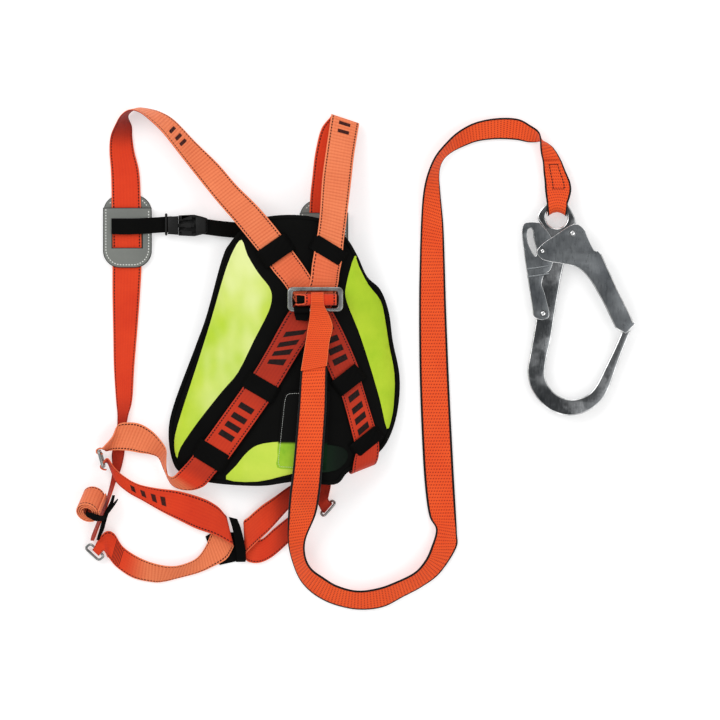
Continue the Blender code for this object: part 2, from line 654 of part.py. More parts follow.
def lanyard_stations():
    """Edge points of the lanyard webbing: the edge on the inside of its big loops comes last."""
    return [
        (103, 52, 74.8, 118, 52, 74.8), (100, 38, 72.5, 124, 38, 72.5), (95, 12, 68, 126, 12, 68),
        (87.5, -36, 67, 124, -34, 67), (84, -85, 67.5, 123, -85, 67.5), (80, -133, 67.5, 120, -133, 67.5),
        (76, -175, 66, 117, -175, 66), (72, -205, 56, 114, -205, 58), (69, -240, 34, 108, -236, 40),
        (69, -275, 17, 94, -270, 34), (75, -303, 6, 93, -293, 28), (86, -329, 3, 101, -311, 27),
        (104, -348, 2.5, 118, -324, 24), (130, -362, 2.5, 138, -336, 20), (165, -370, 2.5, 166, -343, 18),
        (200, -367, 2.5, 196, -339, 20), (230, -352, 3, 223, -329, 22), (256, -338, 3, 246, -317, 24),
        (279, -320, 3, 261, -302, 24), (297, -296, 3, 270, -283, 20), (304, -268, 3, 274, -262, 12),
        (304, -240, 3, 268, -240, 5), (302, -205, 3, 261, -205, 3), (299, -150, 3, 257, -150, 3),
        (294, -50, 3, 253, -50, 3), (290, 50, 3, 252, 50, 3), (288, 119, 3, 253, 119, 3),
        (286, 170, 3, 255, 180, 7), (282, 210, 3, 258, 214, 16), (280, 238, 3, 264, 239, 22),
        (284, 256, 3, 274, 262, 24), (295, 268, 3, 289, 281, 22), (312, 277, 3, 307, 298, 18),
        (334, 285, 3, 331, 311, 14), (361, 288, 3, 361, 317, 12), (387, 287, 3, 390, 316, 12),
        (404, 284, 3, 408, 306, 18), (415, 284, 3, 418, 298, 23), (424, 285, 4, 421, 289, 25),
        (433, 281, 5, 421, 280, 24), (441, 274, 7, 422, 268, 19), (451, 257, 9, 424.5, 256, 13),
        (456, 236, 9, 427.5, 236, 9), (458, 221, 8, 430, 221, 8), (456, 212, 6.4, 432, 212, 6.4),
        (454, 206.6, 5.4, 434, 206.6, 5.4),
    ]


def make_lanyard():
    strip("lanyard_webbing", "webbing_lanyard", lanyard_stations(), LANYARD_T, steps=2)
    tail = [
        (101, 51, 79.6, 121, 52, 79.6), (99.5, 36, 75.8, 127.5, 39, 75.8),
        (97, 22, 73, 131.5, 24, 73), (94, 3, 71.2, 127, 3, 71.2), (87.5, -36, 70, 123.5, -29, 70),
    ]
    arc_strip("lanyard_eye_dorsal", "webbing_lanyard", (102, 119), (ROLL_Y, ROLL_Z), ROLL_R + 2.4,
              (-95, 112), tail, thickness=1.8)
    top = [
        (434, 209, 22, 454, 209, 22), (431, 217, 17, 458, 217, 17), (429, 228, 13.5, 458, 228, 13.5),
        (426.5, 242, 14, 455, 242, 13), (424.5, 256, 17.5, 451, 257, 13),
    ]
    arc_strip("lanyard_eye_hook", "webbing_lanyard", (434, 454), (EYE_BAR_Y, HOOK_Z), EYE_LOOP_R,
              (-52, -292), top, thickness=1.8)


# ---------------------------------------------------------------- scaffold hook

def make_hook():
    z = HOOK_Z
    corners = [
        (444, 202), (428, 196), (417, 180), (424, 166), (433, 150), (431, 130), (424, 100), (418, 62),
        (414, 30), (407, -10), (403, -36), (408, -62), (425, -84), (443, -95), (463, -99), (483, -95),
        (503, -82), (516, -63), (531, -22), (542, 6), (548, 20),
    ]
    inner = [
        (535, 19), (524, -6), (511, -33), (500, -55), (489, -68), (473, -75), (458, -75), (443, -68),
        (432, -55), (428, -40), (430, -20), (436, 6), (441, 38), (448, 80), (455, 114), (466, 138),
        (474, 152), (472, 168), (468, 182), (460, 196),
    ]
    outline = [(p.x, p.y) for p in smooth([(x, y, 0) for x, y in corners], 2)]
    outline += [(p.x, p.y) for p in smooth([(x, y, 0) for x, y in inner], 2)]
    holes = [circle(EYE, EYE_R), circle(GATE_PIVOT, RIVET_R + 0.4, 16),
             circle(LEVER_PIVOT, RIVET_R + 0.4, 16)]
    half = FRAME_T / 2
    plate("hook_frame", "hook_alloy", [outline] + holes, (z - half, z + half), bevel=1.6)

    cheek = [
        (468, 169), (482, 161), (486, 152), (496, 132), (505, 127), (528, 77), (543, 49), (552, 29),
        (549, 21), (536, 16), (527, 24), (513, 52), (500, 76), (490, 92), (479, 104), (468, 110),
        (454, 113), (430, 117), (420, 122), (416, 131), (424, 141), (440, 152),
    ]
    web = [(502, 126), (506, 127), (529, 77), (543, 49), (539, 47), (525, 75)]
    pivot_hole = circle(GATE_PIVOT, RIVET_R + 0.4, 16)
    stud_hole = circle(GATE_STUD, 2.6, 12)
    gate = union_of("hook_gate", "hook_alloy", [
        outline_mesh("cheek", [cheek, pivot_hole, stud_hole], (z + GATE_Z[0], z + GATE_Z[1])),
        outline_mesh("web", [web], (z - GATE_Z[0] - 1, z + GATE_Z[0] + 1)),
        outline_mesh("cheek", [cheek, pivot_hole], (z - GATE_Z[1], z - GATE_Z[0])),
    ])
    set_origin(gate, (*GATE_PIVOT, z))

    side = [
        (396, 165), (402, 171), (418, 171), (424, 166), (436, 151), (440, 128), (436, 106), (427, 98),
        (423, 86), (427, 72), (433, 48), (432, 38), (422, 35), (412, 40), (410, 52), (405, 85),
        (400, 118), (396, 150),
    ]
    slot = [
        (403, 158), (407, 163), (411, 160), (412, 148), (416, 134), (415, 124), (411, 127), (404, 142),
    ]
    back = [(396, 163), (399, 163), (399, 150), (403, 118), (408, 86), (411, 66), (408, 66), (405, 85),
            (400, 118), (396, 150)]
    lever_hole = circle(LEVER_PIVOT, RIVET_R + 0.4, 16)
    lever = union_of("hook_lock_lever", "hook_alloy", [
        outline_mesh("side", [side, lever_hole, slot], (z + LEVER_Z[0], z + LEVER_Z[1])),
        outline_mesh("back", [back], (z - LEVER_Z[0] - 1, z + LEVER_Z[0] + 1)),
        outline_mesh("side", [side, lever_hole, slot], (z - LEVER_Z[1], z - LEVER_Z[0])),
    ])
    set_origin(lever, (*LEVER_PIVOT, z))


def make_rivets():
    head = RIVET_R + 2.4
    for name, centre, reach in (("gate_rivet", GATE_PIVOT, GATE_Z[1]),
                                ("lever_rivet", LEVER_PIVOT, LEVER_Z[1])):
        seat = reach + 0.4
        cap = seat + 1.6
        profile = [
            (0, cap), (head - 1, cap), (head, cap - 0.8), (head, seat), (RIVET_R, seat),
            (RIVET_R, -seat), (head, -seat), (head, -cap + 0.8), (head - 1, -cap), (0, -cap),
        ]
        turned(name, "steel", profile, centre)
    low, high = GATE_Z
    profile = [(0, high + 2), (3.4, high + 2), (4.2, high + 1.2), (4.2, high + 0.4), (2.2, high + 0.4),
               (2.2, low + 0.1), (0, low + 0.1)]
    turned("gate_stud", "steel", profile, GATE_STUD)
    coil = []
    for k in range(22):
        angle = 2 * math.pi * 1.5 * k / 21
        coil.append((GATE_PIVOT[0] + 7.4 * math.cos(angle), GATE_PIVOT[1] + 7.4 * math.sin(angle),
                     HOOK_Z + 5.8 + 1.3 * k / 21))
    tube("gate_spring", "steel", coil, 0.4, resolution=1)


clear_scene()
PARTS = make_collection("safety_harness")
CUTTERS = make_collection("cutters")
make_pad()
make_panels()
make_cross_straps()
make_keepers()
make_dorsal()
make_shoulder_straps()
make_waist_straps()
make_leg_straps()
make_buckles()
make_surplus()
make_slider("left", SLIDER_LEFT)
make_slider("right", SLIDER_RIGHT)
make_chest_strap()
make_chest_buckle()
make_lanyard()
make_hook()
make_rivets()
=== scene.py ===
"""Looks of the safety harness: woven webbing, hi-vis back pad, steel fittings and the lanyard's hook.

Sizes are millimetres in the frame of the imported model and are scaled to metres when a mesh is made.
"""

import math

import bmesh
import bpy
import numpy as np
from mathutils import Matrix, Vector, noise


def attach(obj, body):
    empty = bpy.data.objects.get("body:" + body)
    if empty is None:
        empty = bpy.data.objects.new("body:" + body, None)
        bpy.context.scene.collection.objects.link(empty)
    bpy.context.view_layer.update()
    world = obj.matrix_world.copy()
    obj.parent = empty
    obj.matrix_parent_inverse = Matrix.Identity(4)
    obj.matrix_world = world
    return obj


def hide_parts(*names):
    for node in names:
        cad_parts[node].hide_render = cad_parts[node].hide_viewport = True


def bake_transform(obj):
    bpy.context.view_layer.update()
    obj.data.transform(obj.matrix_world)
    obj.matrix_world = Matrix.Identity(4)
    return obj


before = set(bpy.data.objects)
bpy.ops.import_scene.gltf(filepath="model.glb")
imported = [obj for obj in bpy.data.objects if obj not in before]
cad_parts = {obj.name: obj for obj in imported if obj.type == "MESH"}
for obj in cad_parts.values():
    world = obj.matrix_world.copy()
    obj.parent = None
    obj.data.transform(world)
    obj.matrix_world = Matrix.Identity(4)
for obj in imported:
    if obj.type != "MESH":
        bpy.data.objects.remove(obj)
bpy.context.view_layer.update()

MM = 0.001
WEB_T = 1.9            # harness webbing
LANYARD_T = 2.4        # lanyard webbing
EYE_T = 1.8            # webbing of the lanyard's two sewn eyes
PAD_T = 12.0
PIPING_R = 3.4
RIB_PITCH = 4.6        # spacing of the ribs across the harness webbing
STITCH_PITCH = 4.2     # spacing of the stitches along its edges
STITCH_LINE = 0.428    # their distance from its middle, as a share of its width
WEAVE_PITCH = 1.2
WEAVE_COLUMNS = 28     # threads of the weave across the webbing
WARP_COLUMNS = 9       # broader bands across it
MARK_LIFT = 0.12       # printed marks and bar tacks stand this far off the webbing
MARK_T = 0.08
SHARP_ANGLE = math.radians(40)
WELD = 0.002 * MM      # points closer than this become one
PICTURE_PIXELS = 720
SCALE = 1.4            # millimetres to a pixel of the picture
PICTURE_CENTRE = (169.4, -21.0)
CAMERA_HEIGHT = 6.0    # metres
SENSOR_WIDTH = 36

# Height of the pad's underside along X
ARCH = (
    (-105, 0.0), (-60, 13.0), (-20, 25.0), (20, 34.0), (60, 41.0),
    (100, 45.0), (130, 43.0), (160, 34.0), (190, 20.0), (235, 0.0),
)

RING_Y = 48.5
RING_Z = 70.0
ROLL_X = (80.0, 137.0)
ROLL_Y = 62.5
ROLL_Z = 76.0
ROLL_R = 7.0
SLIDER_W = 68.0
SLIDER_L = 102.0
SLIDER_WINDOW = 42.0
SLIDER_RAIL_X = 26.5   # inner edge of its rails from its middle
SLIDER_LEFT = (-156.0, 159.0)
SLIDER_RIGHT = (119.0, 152.0)
CHEST_Z = 9.9
CHEST_BUCKLE_Y = 167.0
HOOK_Z = 13.0
EYE = (444.0, 178.0)
EYE_R = 15.0
EYE_BAR_Y = 197.5
EYE_LOOP_R = 11.2
EYE_TURN = (-52, -292)  # degrees round the hook's bar that the sewn eye starts and ends at
GATE_PIVOT = (466.0, 156.0)
GATE_STUD = (424.0, 131.0)
LEVER_PIVOT = (425.0, 44.0)
RIVET_R = 4.0


# ---------------------------------------------------------------- node materials

MATERIALS = {}


class Shader:
    """Short way to build a material's node tree. Each argument is a socket or a constant."""

    def __init__(self, name, colour, roughness, metallic=0.0):
        self.material = MATERIALS[name] = bpy.data.materials.new(name)
        self.material.use_nodes = True
        self.tree = self.material.node_tree
        self.shader = self.tree.nodes["Principled BSDF"]
        self.put("Base Color", (*colour, 1.0))
        self.put("Roughness", roughness)
        self.put("Metallic", metallic)

    def node(self, kind, inputs=()):
        node = self.tree.nodes.new("ShaderNode" + kind)
        for name, value in inputs:
            self.plug(node.inputs[name], value)
        return node

    def plug(self, socket, value):
        if hasattr(value, "links"):
            self.tree.links.new(value, socket)
        else:
            socket.default_value = value

    def put(self, name, value):
        self.plug(self.shader.inputs[name], value)

    def maths(self, operation, *values):
        node = self.node("Math", enumerate(values))
        node.operation = operation
        return node.outputs[0]

    def times(self, a, b):
        return self.maths("MULTIPLY", a, b)

    def times_plus(self, a, b, c):
        return self.maths("MULTIPLY_ADD", a, b, c)

    def minus(self, a, b):
        return self.maths("SUBTRACT", a, b)

    def clamp(self, value):
        return self.maths("MINIMUM", self.maths("MAXIMUM", value, 0.0), 1.0)

    def distance(self, value, centre):
        return self.maths("ABSOLUTE", self.minus(value, centre))

    def wave(self, value, period):
        """0 to 1 sine of value with that period."""
        turned = self.times(value, 2 * math.pi / period)
        return self.times_plus(self.maths("SINE", turned), 0.5, 0.5)

    def ramp(self, value, low, high, out_low=0.0, out_high=1.0):
        node = self.node("MapRange")
        node.interpolation_type = "SMOOTHSTEP"
        for name, item in (("Value", value), ("From Min", low), ("From Max", high),
                           ("To Min", out_low), ("To Max", out_high)):
            self.plug(node.inputs[name], item)
        return node.outputs["Result"]

    def coords(self, kind="Object"):
        vector = self.node("TexCoord").outputs[kind]
        return vector, self.node("SeparateXYZ", [(0, vector)]).outputs

    def noise(self, vector, scale, detail=3.0, roughness=0.55, stretch=None):
        if stretch:
            vector = self.node("Mapping", [("Vector", vector), ("Scale", stretch)]).outputs[0]
        return self.node("TexNoise", [("Vector", vector), ("Scale", scale), ("Detail", detail),
                                      ("Roughness", roughness)]).outputs["Fac"]

    def mix(self, factor, a, b):
        node = self.node("Mix")
        node.data_type = "RGBA"
        self.plug(node.inputs[0], factor)
        for k, value in ((6, a), (7, b)):
            self.plug(node.inputs[k], value if hasattr(value, "links") else (*value, 1.0))
        return node.outputs[2]

    def bump(self, height, distance):
        node = self.node("Bump", [("Strength", 1.0), ("Distance", distance), ("Height", height)])
        self.put("Normal", node.outputs[0])

    def attribute(self, name):
        node = self.node("Attribute")
        node.attribute_name = name
        return node.outputs["Fac"]

    def sheen(self, weight, gloss):
        self.put("Sheen Weight", weight)
        self.put("Sheen Roughness", 0.4)
        self.put("Specular IOR Level", gloss)


def webbing_material(name, pale, deep, shaded, stitch, highlight_lip, sheen=0.15, gloss=0.2):
    """Harness webbing. U runs across it from 0 to 1 and V along it in metres; the tone attribute is
    1 on the pale ribbed face, 0 on the saturated smooth face and -1 where it is darkest, in the shaded
    colour, a painted shade."""
    s = Shader(name, pale[1], 0.75)
    across, along, _ = s.coords("UV")[1]
    place = s.coords()[0]
    tone = s.attribute("tone")
    is_pale = s.ramp(tone, 0.0, 1.0)
    rib = s.ramp(s.wave(along, RIB_PITCH * MM), 0.08, 0.6)
    weave = s.times(s.wave(along, WEAVE_PITCH * MM), s.wave(across, 1 / WEAVE_COLUMNS))
    warp = s.wave(across, 1 / WARP_COLUMNS)
    fine = s.noise(place, 1100.0, 2.0)
    shade = s.times_plus(rib, s.times(is_pale, 0.3), 0.1)
    shade = s.times_plus(s.noise(place, 18.0), 0.7, shade)
    shade = s.times_plus(warp, 0.1, shade)
    shade = s.times_plus(weave, 0.14, shade)
    shade = s.clamp(s.times_plus(fine, 0.4, s.minus(shade, 0.38)))
    colour = s.mix(is_pale, s.mix(shade, *deep), s.mix(shade, *pale))
    # Below tone 0 the colour turns to the shaded colour: painted shade.
    colour = s.mix(s.ramp(tone, -1.0, 0.0, 1.0, 0.0), colour, s.mix(shade, *shaded))
    # A thin lighter line along each edge is a painted highlight, weaker where the tone is low.
    off_centre = s.distance(across, 0.5)
    on_highlight_lip = s.times(s.ramp(off_centre, 0.458, 0.468), s.ramp(tone, -0.5, 0.4, 0.0, 0.5))
    colour = s.mix(on_highlight_lip, colour, highlight_lip)
    line = s.ramp(s.distance(off_centre, STITCH_LINE), 0.017, 0.027, 1.0, 0.0)
    dash = s.ramp(s.wave(along, STITCH_PITCH * MM), 0.16, 0.34)
    s.put("Base Color", s.mix(s.times(line, dash), colour, stitch))
    s.put("Roughness", s.ramp(fine, 0.2, 0.8, 0.65, 0.88))
    height = s.times(rib, s.times_plus(is_pale, 0.45, 0.1))
    height = s.times_plus(weave, 0.3, height)
    s.bump(s.times_plus(fine, 0.25, height), 0.0005)
    s.sheen(sheen, gloss)


def lanyard_material(name, light, dark, pin, edge, edge_at=0.418, pin_share=0.75, row_pitch=4.4, columns=11):
    """Lanyard webbing: dark pin dots in a brick pattern and a dark selvedge on each edge."""
    s = Shader(name, light, 0.7)
    across, along, _ = s.coords("UV")[1]
    place = s.coords()[0]
    row = s.wave(along, row_pitch * MM)
    brick = s.times_plus(along, 0.5 / (columns * row_pitch * MM), across)
    column = s.wave(brick, 1 / columns)
    fine = s.noise(place, 1000.0, 2.0)
    shade = s.times_plus(row, -0.15, s.times_plus(s.noise(place, 16.0), 0.8, 0.05))
    shade = s.clamp(s.times_plus(fine, 0.5, s.minus(shade, 0.1)))
    dots = s.ramp(s.times(row, column), 0.42, 0.7, 0.0, pin_share)
    colour = s.mix(dots, s.mix(shade, dark, light), pin)
    selvedge = s.ramp(s.distance(across, 0.5), edge_at, edge_at + 0.012)
    s.put("Base Color", s.mix(selvedge, colour, edge))
    s.put("Roughness", s.ramp(fine, 0.2, 0.8, 0.6, 0.85))
    s.bump(s.times_plus(dots, -0.6, s.times_plus(row, -0.2, fine)), 0.0005)
    s.sheen(0.12, 0.2)


def cloth_material(name, light, dark, weave_scale, bump, roughness, gloss, painted_highlight=None, far_side=None):
    """Plain cloth with a fine weave. Its optional highlight colour is that of its lighter areas, a painted
    sheen highlight, and far_side the dark and light colours that it takes towards +X, a painted shade, where
    its lower corner lies in painted dark green shade."""
    s = Shader(name, light, roughness)
    place, axes = s.coords()
    cloudy = s.noise(place, 14.0, 4.0)
    crease = s.noise(place, 26.0, 5.0, 0.65, (1.0, 0.35, 1.0))
    weave = s.noise(place, weave_scale, 2.0)
    grid = s.times(s.wave(axes[0], 0.0016), s.wave(axes[1], 0.0016))
    shade = s.clamp(s.times_plus(weave, 0.35, s.times_plus(cloudy, 1.1, -0.25)))
    colour = s.mix(shade, dark, light)
    # Painted sheen highlight: lighter patches in the upper part of the cloth.
    if painted_highlight:
        broad = s.noise(place, 7.0, 3.0, 0.6, (1.3, 0.7, 1.0))
        upper = s.ramp(axes[1], -0.14, -0.02, 0.1, 1.0)
        colour = s.mix(s.times(s.ramp(broad, 0.32, 0.64), upper), colour, painted_highlight)
    # Painted shade: darker towards +X, and dark green to near black in the lower corner.
    if far_side:
        colour = s.mix(s.ramp(axes[0], 0.06, 0.15), colour, s.mix(shade, *far_side))
        corner = s.times(s.ramp(axes[0], 0.085, 0.11), s.ramp(axes[1], -0.13, -0.12, 1.0, 0.0))
        corner = s.times(corner, s.ramp(axes[0], 0.16, 0.17, 1.0, 0.0))
        deep = s.times(cloudy, s.ramp(axes[0], 0.095, 0.145, 1.6, 0.0))
        colour = s.mix(corner, colour, s.mix(s.clamp(deep), *GREEN_SHADE))
    s.put("Base Color", colour)
    s.put("Roughness", s.ramp(weave, 0.2, 0.8, roughness - 0.1, min(1.0, roughness + 0.1)))
    height = s.times_plus(grid, 0.3, s.times(weave, 0.3))
    s.bump(s.times_plus(crease, 2.2, height), bump)
    s.put("Specular IOR Level", gloss)


def pocket_material(name):
    """Thin mesh pocket: black, and lime below the line where the lower hi-vis panel shows through,
    which turns to a painted dark green shade towards +X."""
    s = Shader(name, BLACK_LIGHT, 0.8)
    place, axes = s.coords()
    weave = s.noise(place, 1100.0, 2.0)
    cloudy = s.noise(place, 60.0, 3.0)
    lime = s.mix(cloudy, (0.14, 0.40, 0.02), (0.45, 0.66, 0.045))
    # Painted shade: the lime turns dark green towards +X.
    green_painted_shade = s.mix(cloudy, *GREEN_SHADE)
    below = s.ramp(axes[1], -0.139, -0.134, 1.0, 0.0)
    shown = s.mix(s.ramp(axes[0], 0.074, 0.095), lime, green_painted_shade)
    s.put("Base Color", s.mix(below, s.mix(weave, BLACK_DARK, BLACK_LIGHT), shown))
    s.bump(weave, 0.0003)
    s.put("Specular IOR Level", 0.06)


def moulded_material(name, light, dark, roughness):
    """Moulded plastic with a fine spark-eroded grain."""
    s = Shader(name, light, roughness)
    place = s.coords()[0]
    grain = s.noise(place, 2200.0, 2.0)
    s.put("Base Color", s.mix(s.noise(place, 40.0), dark, light))
    s.put("Roughness", s.ramp(grain, 0.3, 0.7, roughness - 0.08, roughness + 0.1))
    s.bump(grain, 0.0001)
    s.put("Specular IOR Level", 0.25)


def metal_material(name, light, dark, roughness, patch_scale, contrast, painted_reflections=False):
    """Plated metal: brushed along Y, with worn and scuffed patches. With the last flag set, its patches turn
    into sharp painted reflections, and it is lighter on the hook's far limb, towards +X, a painted
    highlight."""
    s = Shader(name, light, roughness, 1.0)
    place, axes = s.coords()
    cloudy = s.noise(place, patch_scale, 3.0, 0.5)
    if painted_reflections:
        # Painted reflections: sharp light and dark patches, and a painted highlight on the far limb.
        cloudy = s.times_plus(s.ramp(cloudy, 0.5, 0.62), 0.45, s.times(cloudy, 0.4))
        cloudy = s.maths("ADD", cloudy, s.ramp(axes[0], 0.46, 0.52, 0.0, 0.28))
    brushed = s.noise(place, 500.0, 3.0, 0.5, (1.0, 0.2, 1.0))
    scuff = s.noise(place, 160.0, 4.0, 0.7)
    worn = s.ramp(s.node("NewGeometry").outputs["Pointiness"], 0.51, 0.57)
    shade = s.times_plus(s.minus(cloudy, 0.5), contrast, 0.4)
    shade = s.times_plus(s.minus(brushed, 0.5), 0.3, shade)
    shade = s.clamp(s.times_plus(worn, 0.5, shade))
    s.put("Base Color", s.mix(shade, dark, light))
    mottled = s.times_plus(scuff, 0.5, s.times(brushed, 0.5))
    s.put("Roughness", s.ramp(mottled, 0.3, 0.7, roughness - 0.08, roughness + 0.1))
    s.bump(s.times_plus(scuff, 0.6, brushed), 0.00003)


def grained_material(name, light, dark, roughness, *grain):
    """Twisted thread or ink broken up by the weave: one noise gives the colour and the height."""
    s = Shader(name, light, roughness)
    shade = s.noise(s.coords()[0], *grain)
    s.put("Base Color", s.mix(shade, dark, light))
    s.bump(shade, 0.0002)


BLACK_LIGHT = (0.0065, 0.0065, 0.006)
BLACK_DARK = (0.002, 0.002, 0.002)
BLACKS = (BLACK_DARK, BLACK_LIGHT)
GREEN_SHADE = ((0.002, 0.006, 0.003), (0.006, 0.036, 0.011))
THREAD = (0.7, 1600.0, 2.0, 0.5, (1.0, 0.4, 1.0))
INK = (0.8, 700.0, 3.0)

# Webbing colours: pale face, saturated face, the shaded colour (a painted shade), stitches, and the lighter
# edge colour (a painted highlight).
webbing_material("webbing", ((0.66, 0.125, 0.045), (0.95, 0.27, 0.115)),
                 ((0.60, 0.028, 0.008), (0.90, 0.078, 0.016)), ((0.20, 0.011, 0.006), (0.50, 0.034, 0.013)),
                 (0.040, 0.003, 0.004), (0.98, 0.30, 0.13))
webbing_material("webbing_black", BLACKS, BLACKS, BLACKS, (0.004, 0.004, 0.004), (0.006, 0.006, 0.006),
                 0.0, 0.03)
lanyard_material("webbing_lanyard", (0.96, 0.125, 0.022), (0.76, 0.055, 0.010), (0.28, 0.013, 0.005),
                 (0.004, 0.003, 0.003))
lanyard_material("webbing_lanyard_eye", (0.95, 0.125, 0.024), (0.74, 0.055, 0.010), (0.30, 0.018, 0.005),
                 (0.98, 0.22, 0.07), 0.475, 0.7, 2.8, 14)
cloth_material("pad_black", BLACK_LIGHT, BLACK_DARK, 1100.0, 0.0005, 0.85, 0.04)
pocket_material("pocket_cloth")
# The hi-vis cloth's pale colour is a painted sheen highlight and its last two colours a painted shade
# towards +X.
cloth_material("hi_vis_lime", (0.70, 0.80, 0.08), (0.36, 0.62, 0.012), 1500.0, 0.0006, 0.55, 0.1,
               (0.80, 0.88, 0.36), ((0.26, 0.52, 0.010), (0.62, 0.76, 0.05)))
cloth_material("slider_grey", (0.20, 0.21, 0.19), (0.11, 0.12, 0.11), 800.0, 0.0002, 0.45, 0.5)
cloth_material("slider_rim", (0.035, 0.036, 0.034), (0.012, 0.012, 0.012), 800.0, 0.0002, 0.5, 0.3)
moulded_material("buckle_black", BLACK_LIGHT, BLACK_DARK, 0.4)
metal_material("steel", (0.36, 0.37, 0.36), (0.12, 0.125, 0.125), 0.3, 60.0, 1.5)
# A lighter copy of steel for rims, the gate's edge rod and rivet domes: a painted highlight.
metal_material("steel_highlight", (0.95, 0.95, 0.95), (0.42, 0.43, 0.43), 0.22, 60.0, 2.0)
metal_material("hook_alloy", (0.25, 0.265, 0.275), (0.075, 0.082, 0.09), 0.32, 30.0, 1.6)
# The forging's patches are painted reflections.
metal_material("hook_forged", (0.34, 0.35, 0.36), (0.030, 0.034, 0.037), 0.2, 30.0, 1.0, True)
grained_material("thread_light", (0.85, 0.86, 0.82), (0.60, 0.62, 0.58), *THREAD)
grained_material("thread_dark", (0.05, 0.005, 0.003), (0.02, 0.003, 0.002), *THREAD)
grained_material("print_dark", (0.13, 0.020, 0.012), (0.05, 0.007, 0.005), *INK)
grained_material("print_black", (0.035, 0.008, 0.006), (0.012, 0.004, 0.003), *INK)


# ---------------------------------------------------------------- shapes

def smooth_step(t):
    t = min(1.0, max(0.0, t))
    return t * t * (3 - 2 * t)


def arch(x):
    """Height of the pad's underside at x, rounded at the knots."""
    total = 0.0
    for shift in (-9, -3, 3, 9):
        at = x + shift
        for (x0, z0), (x1, z1) in zip(ARCH, ARCH[1:]):
            if at <= x1 or x1 == ARCH[-1][0]:
                t = min(1.0, max(0.0, (at - x0) / (x1 - x0)))
                total += z0 + (z1 - z0) * t
                break
    return total / 4


def spline(points, steps, closed=False):
    """Catmull-Rom curve through the points, as an array of rows."""
    pts = np.array([tuple(p) for p in points], dtype=float)
    if closed:
        pts = np.vstack((pts[-1:], pts, pts[:2]))
    else:
        pts = np.vstack((2 * pts[:1] - pts[1:2], pts, 2 * pts[-1:] - pts[-2:-1]))
    out = []
    for p0, p1, p2, p3 in zip(pts, pts[1:], pts[2:], pts[3:]):
        for k in range(steps):
            t = k / steps
            out.append(0.5 * (2 * p1 + (p2 - p0) * t + (2 * p0 - 5 * p1 + 4 * p2 - p3) * t ** 2
                              + (3 * p1 - p0 - 3 * p2 + p3) * t ** 3))
    if not closed:
        out.append(pts[-2])
    return np.array(out)


def place_object(name, data):
    obj = bpy.data.objects.new(name, data)
    bpy.context.scene.collection.objects.link(obj)
    return obj


def bridge(bm, first, second):
    """Faces that join two rings of vertices."""
    return [bm.faces.new((a, b, c, d)) for a, b, c, d in
            zip(first, first[1:] + first[:1], second[1:] + second[:1], second)]


def finish_mesh(name, bm, mats, body="harness"):
    """Object from a bmesh in metres, riding on a body, or free if body is None."""
    mesh = bpy.data.meshes.new(name)
    bm.to_mesh(mesh)
    bm.free()
    for mat in mats:
        mesh.materials.append(MATERIALS[mat])
    mesh.shade_smooth()
    mesh.set_sharp_from_angle(angle=SHARP_ANGLE)
    obj = place_object(name, mesh)
    if body:
        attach(obj, body)
    return obj


def stand_in(name, bm, mats, node, body="harness"):
    """Finished piece that stands for a CAD node, which it hides."""
    obj = finish_mesh(name, bm, mats, body)
    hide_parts(node)
    return obj


# Half of the webbing's cross section: (share of its half width, share of its thickness)
PROFILE = (
    (-1.0, 0.0), (-0.985, 0.36), (-0.93, 0.5), (-0.75, 0.47), (-0.4, 0.46), (0.0, 0.46), (0.4, 0.46),
    (0.75, 0.47), (0.93, 0.5), (0.985, 0.36), (1.0, 0.0),
)


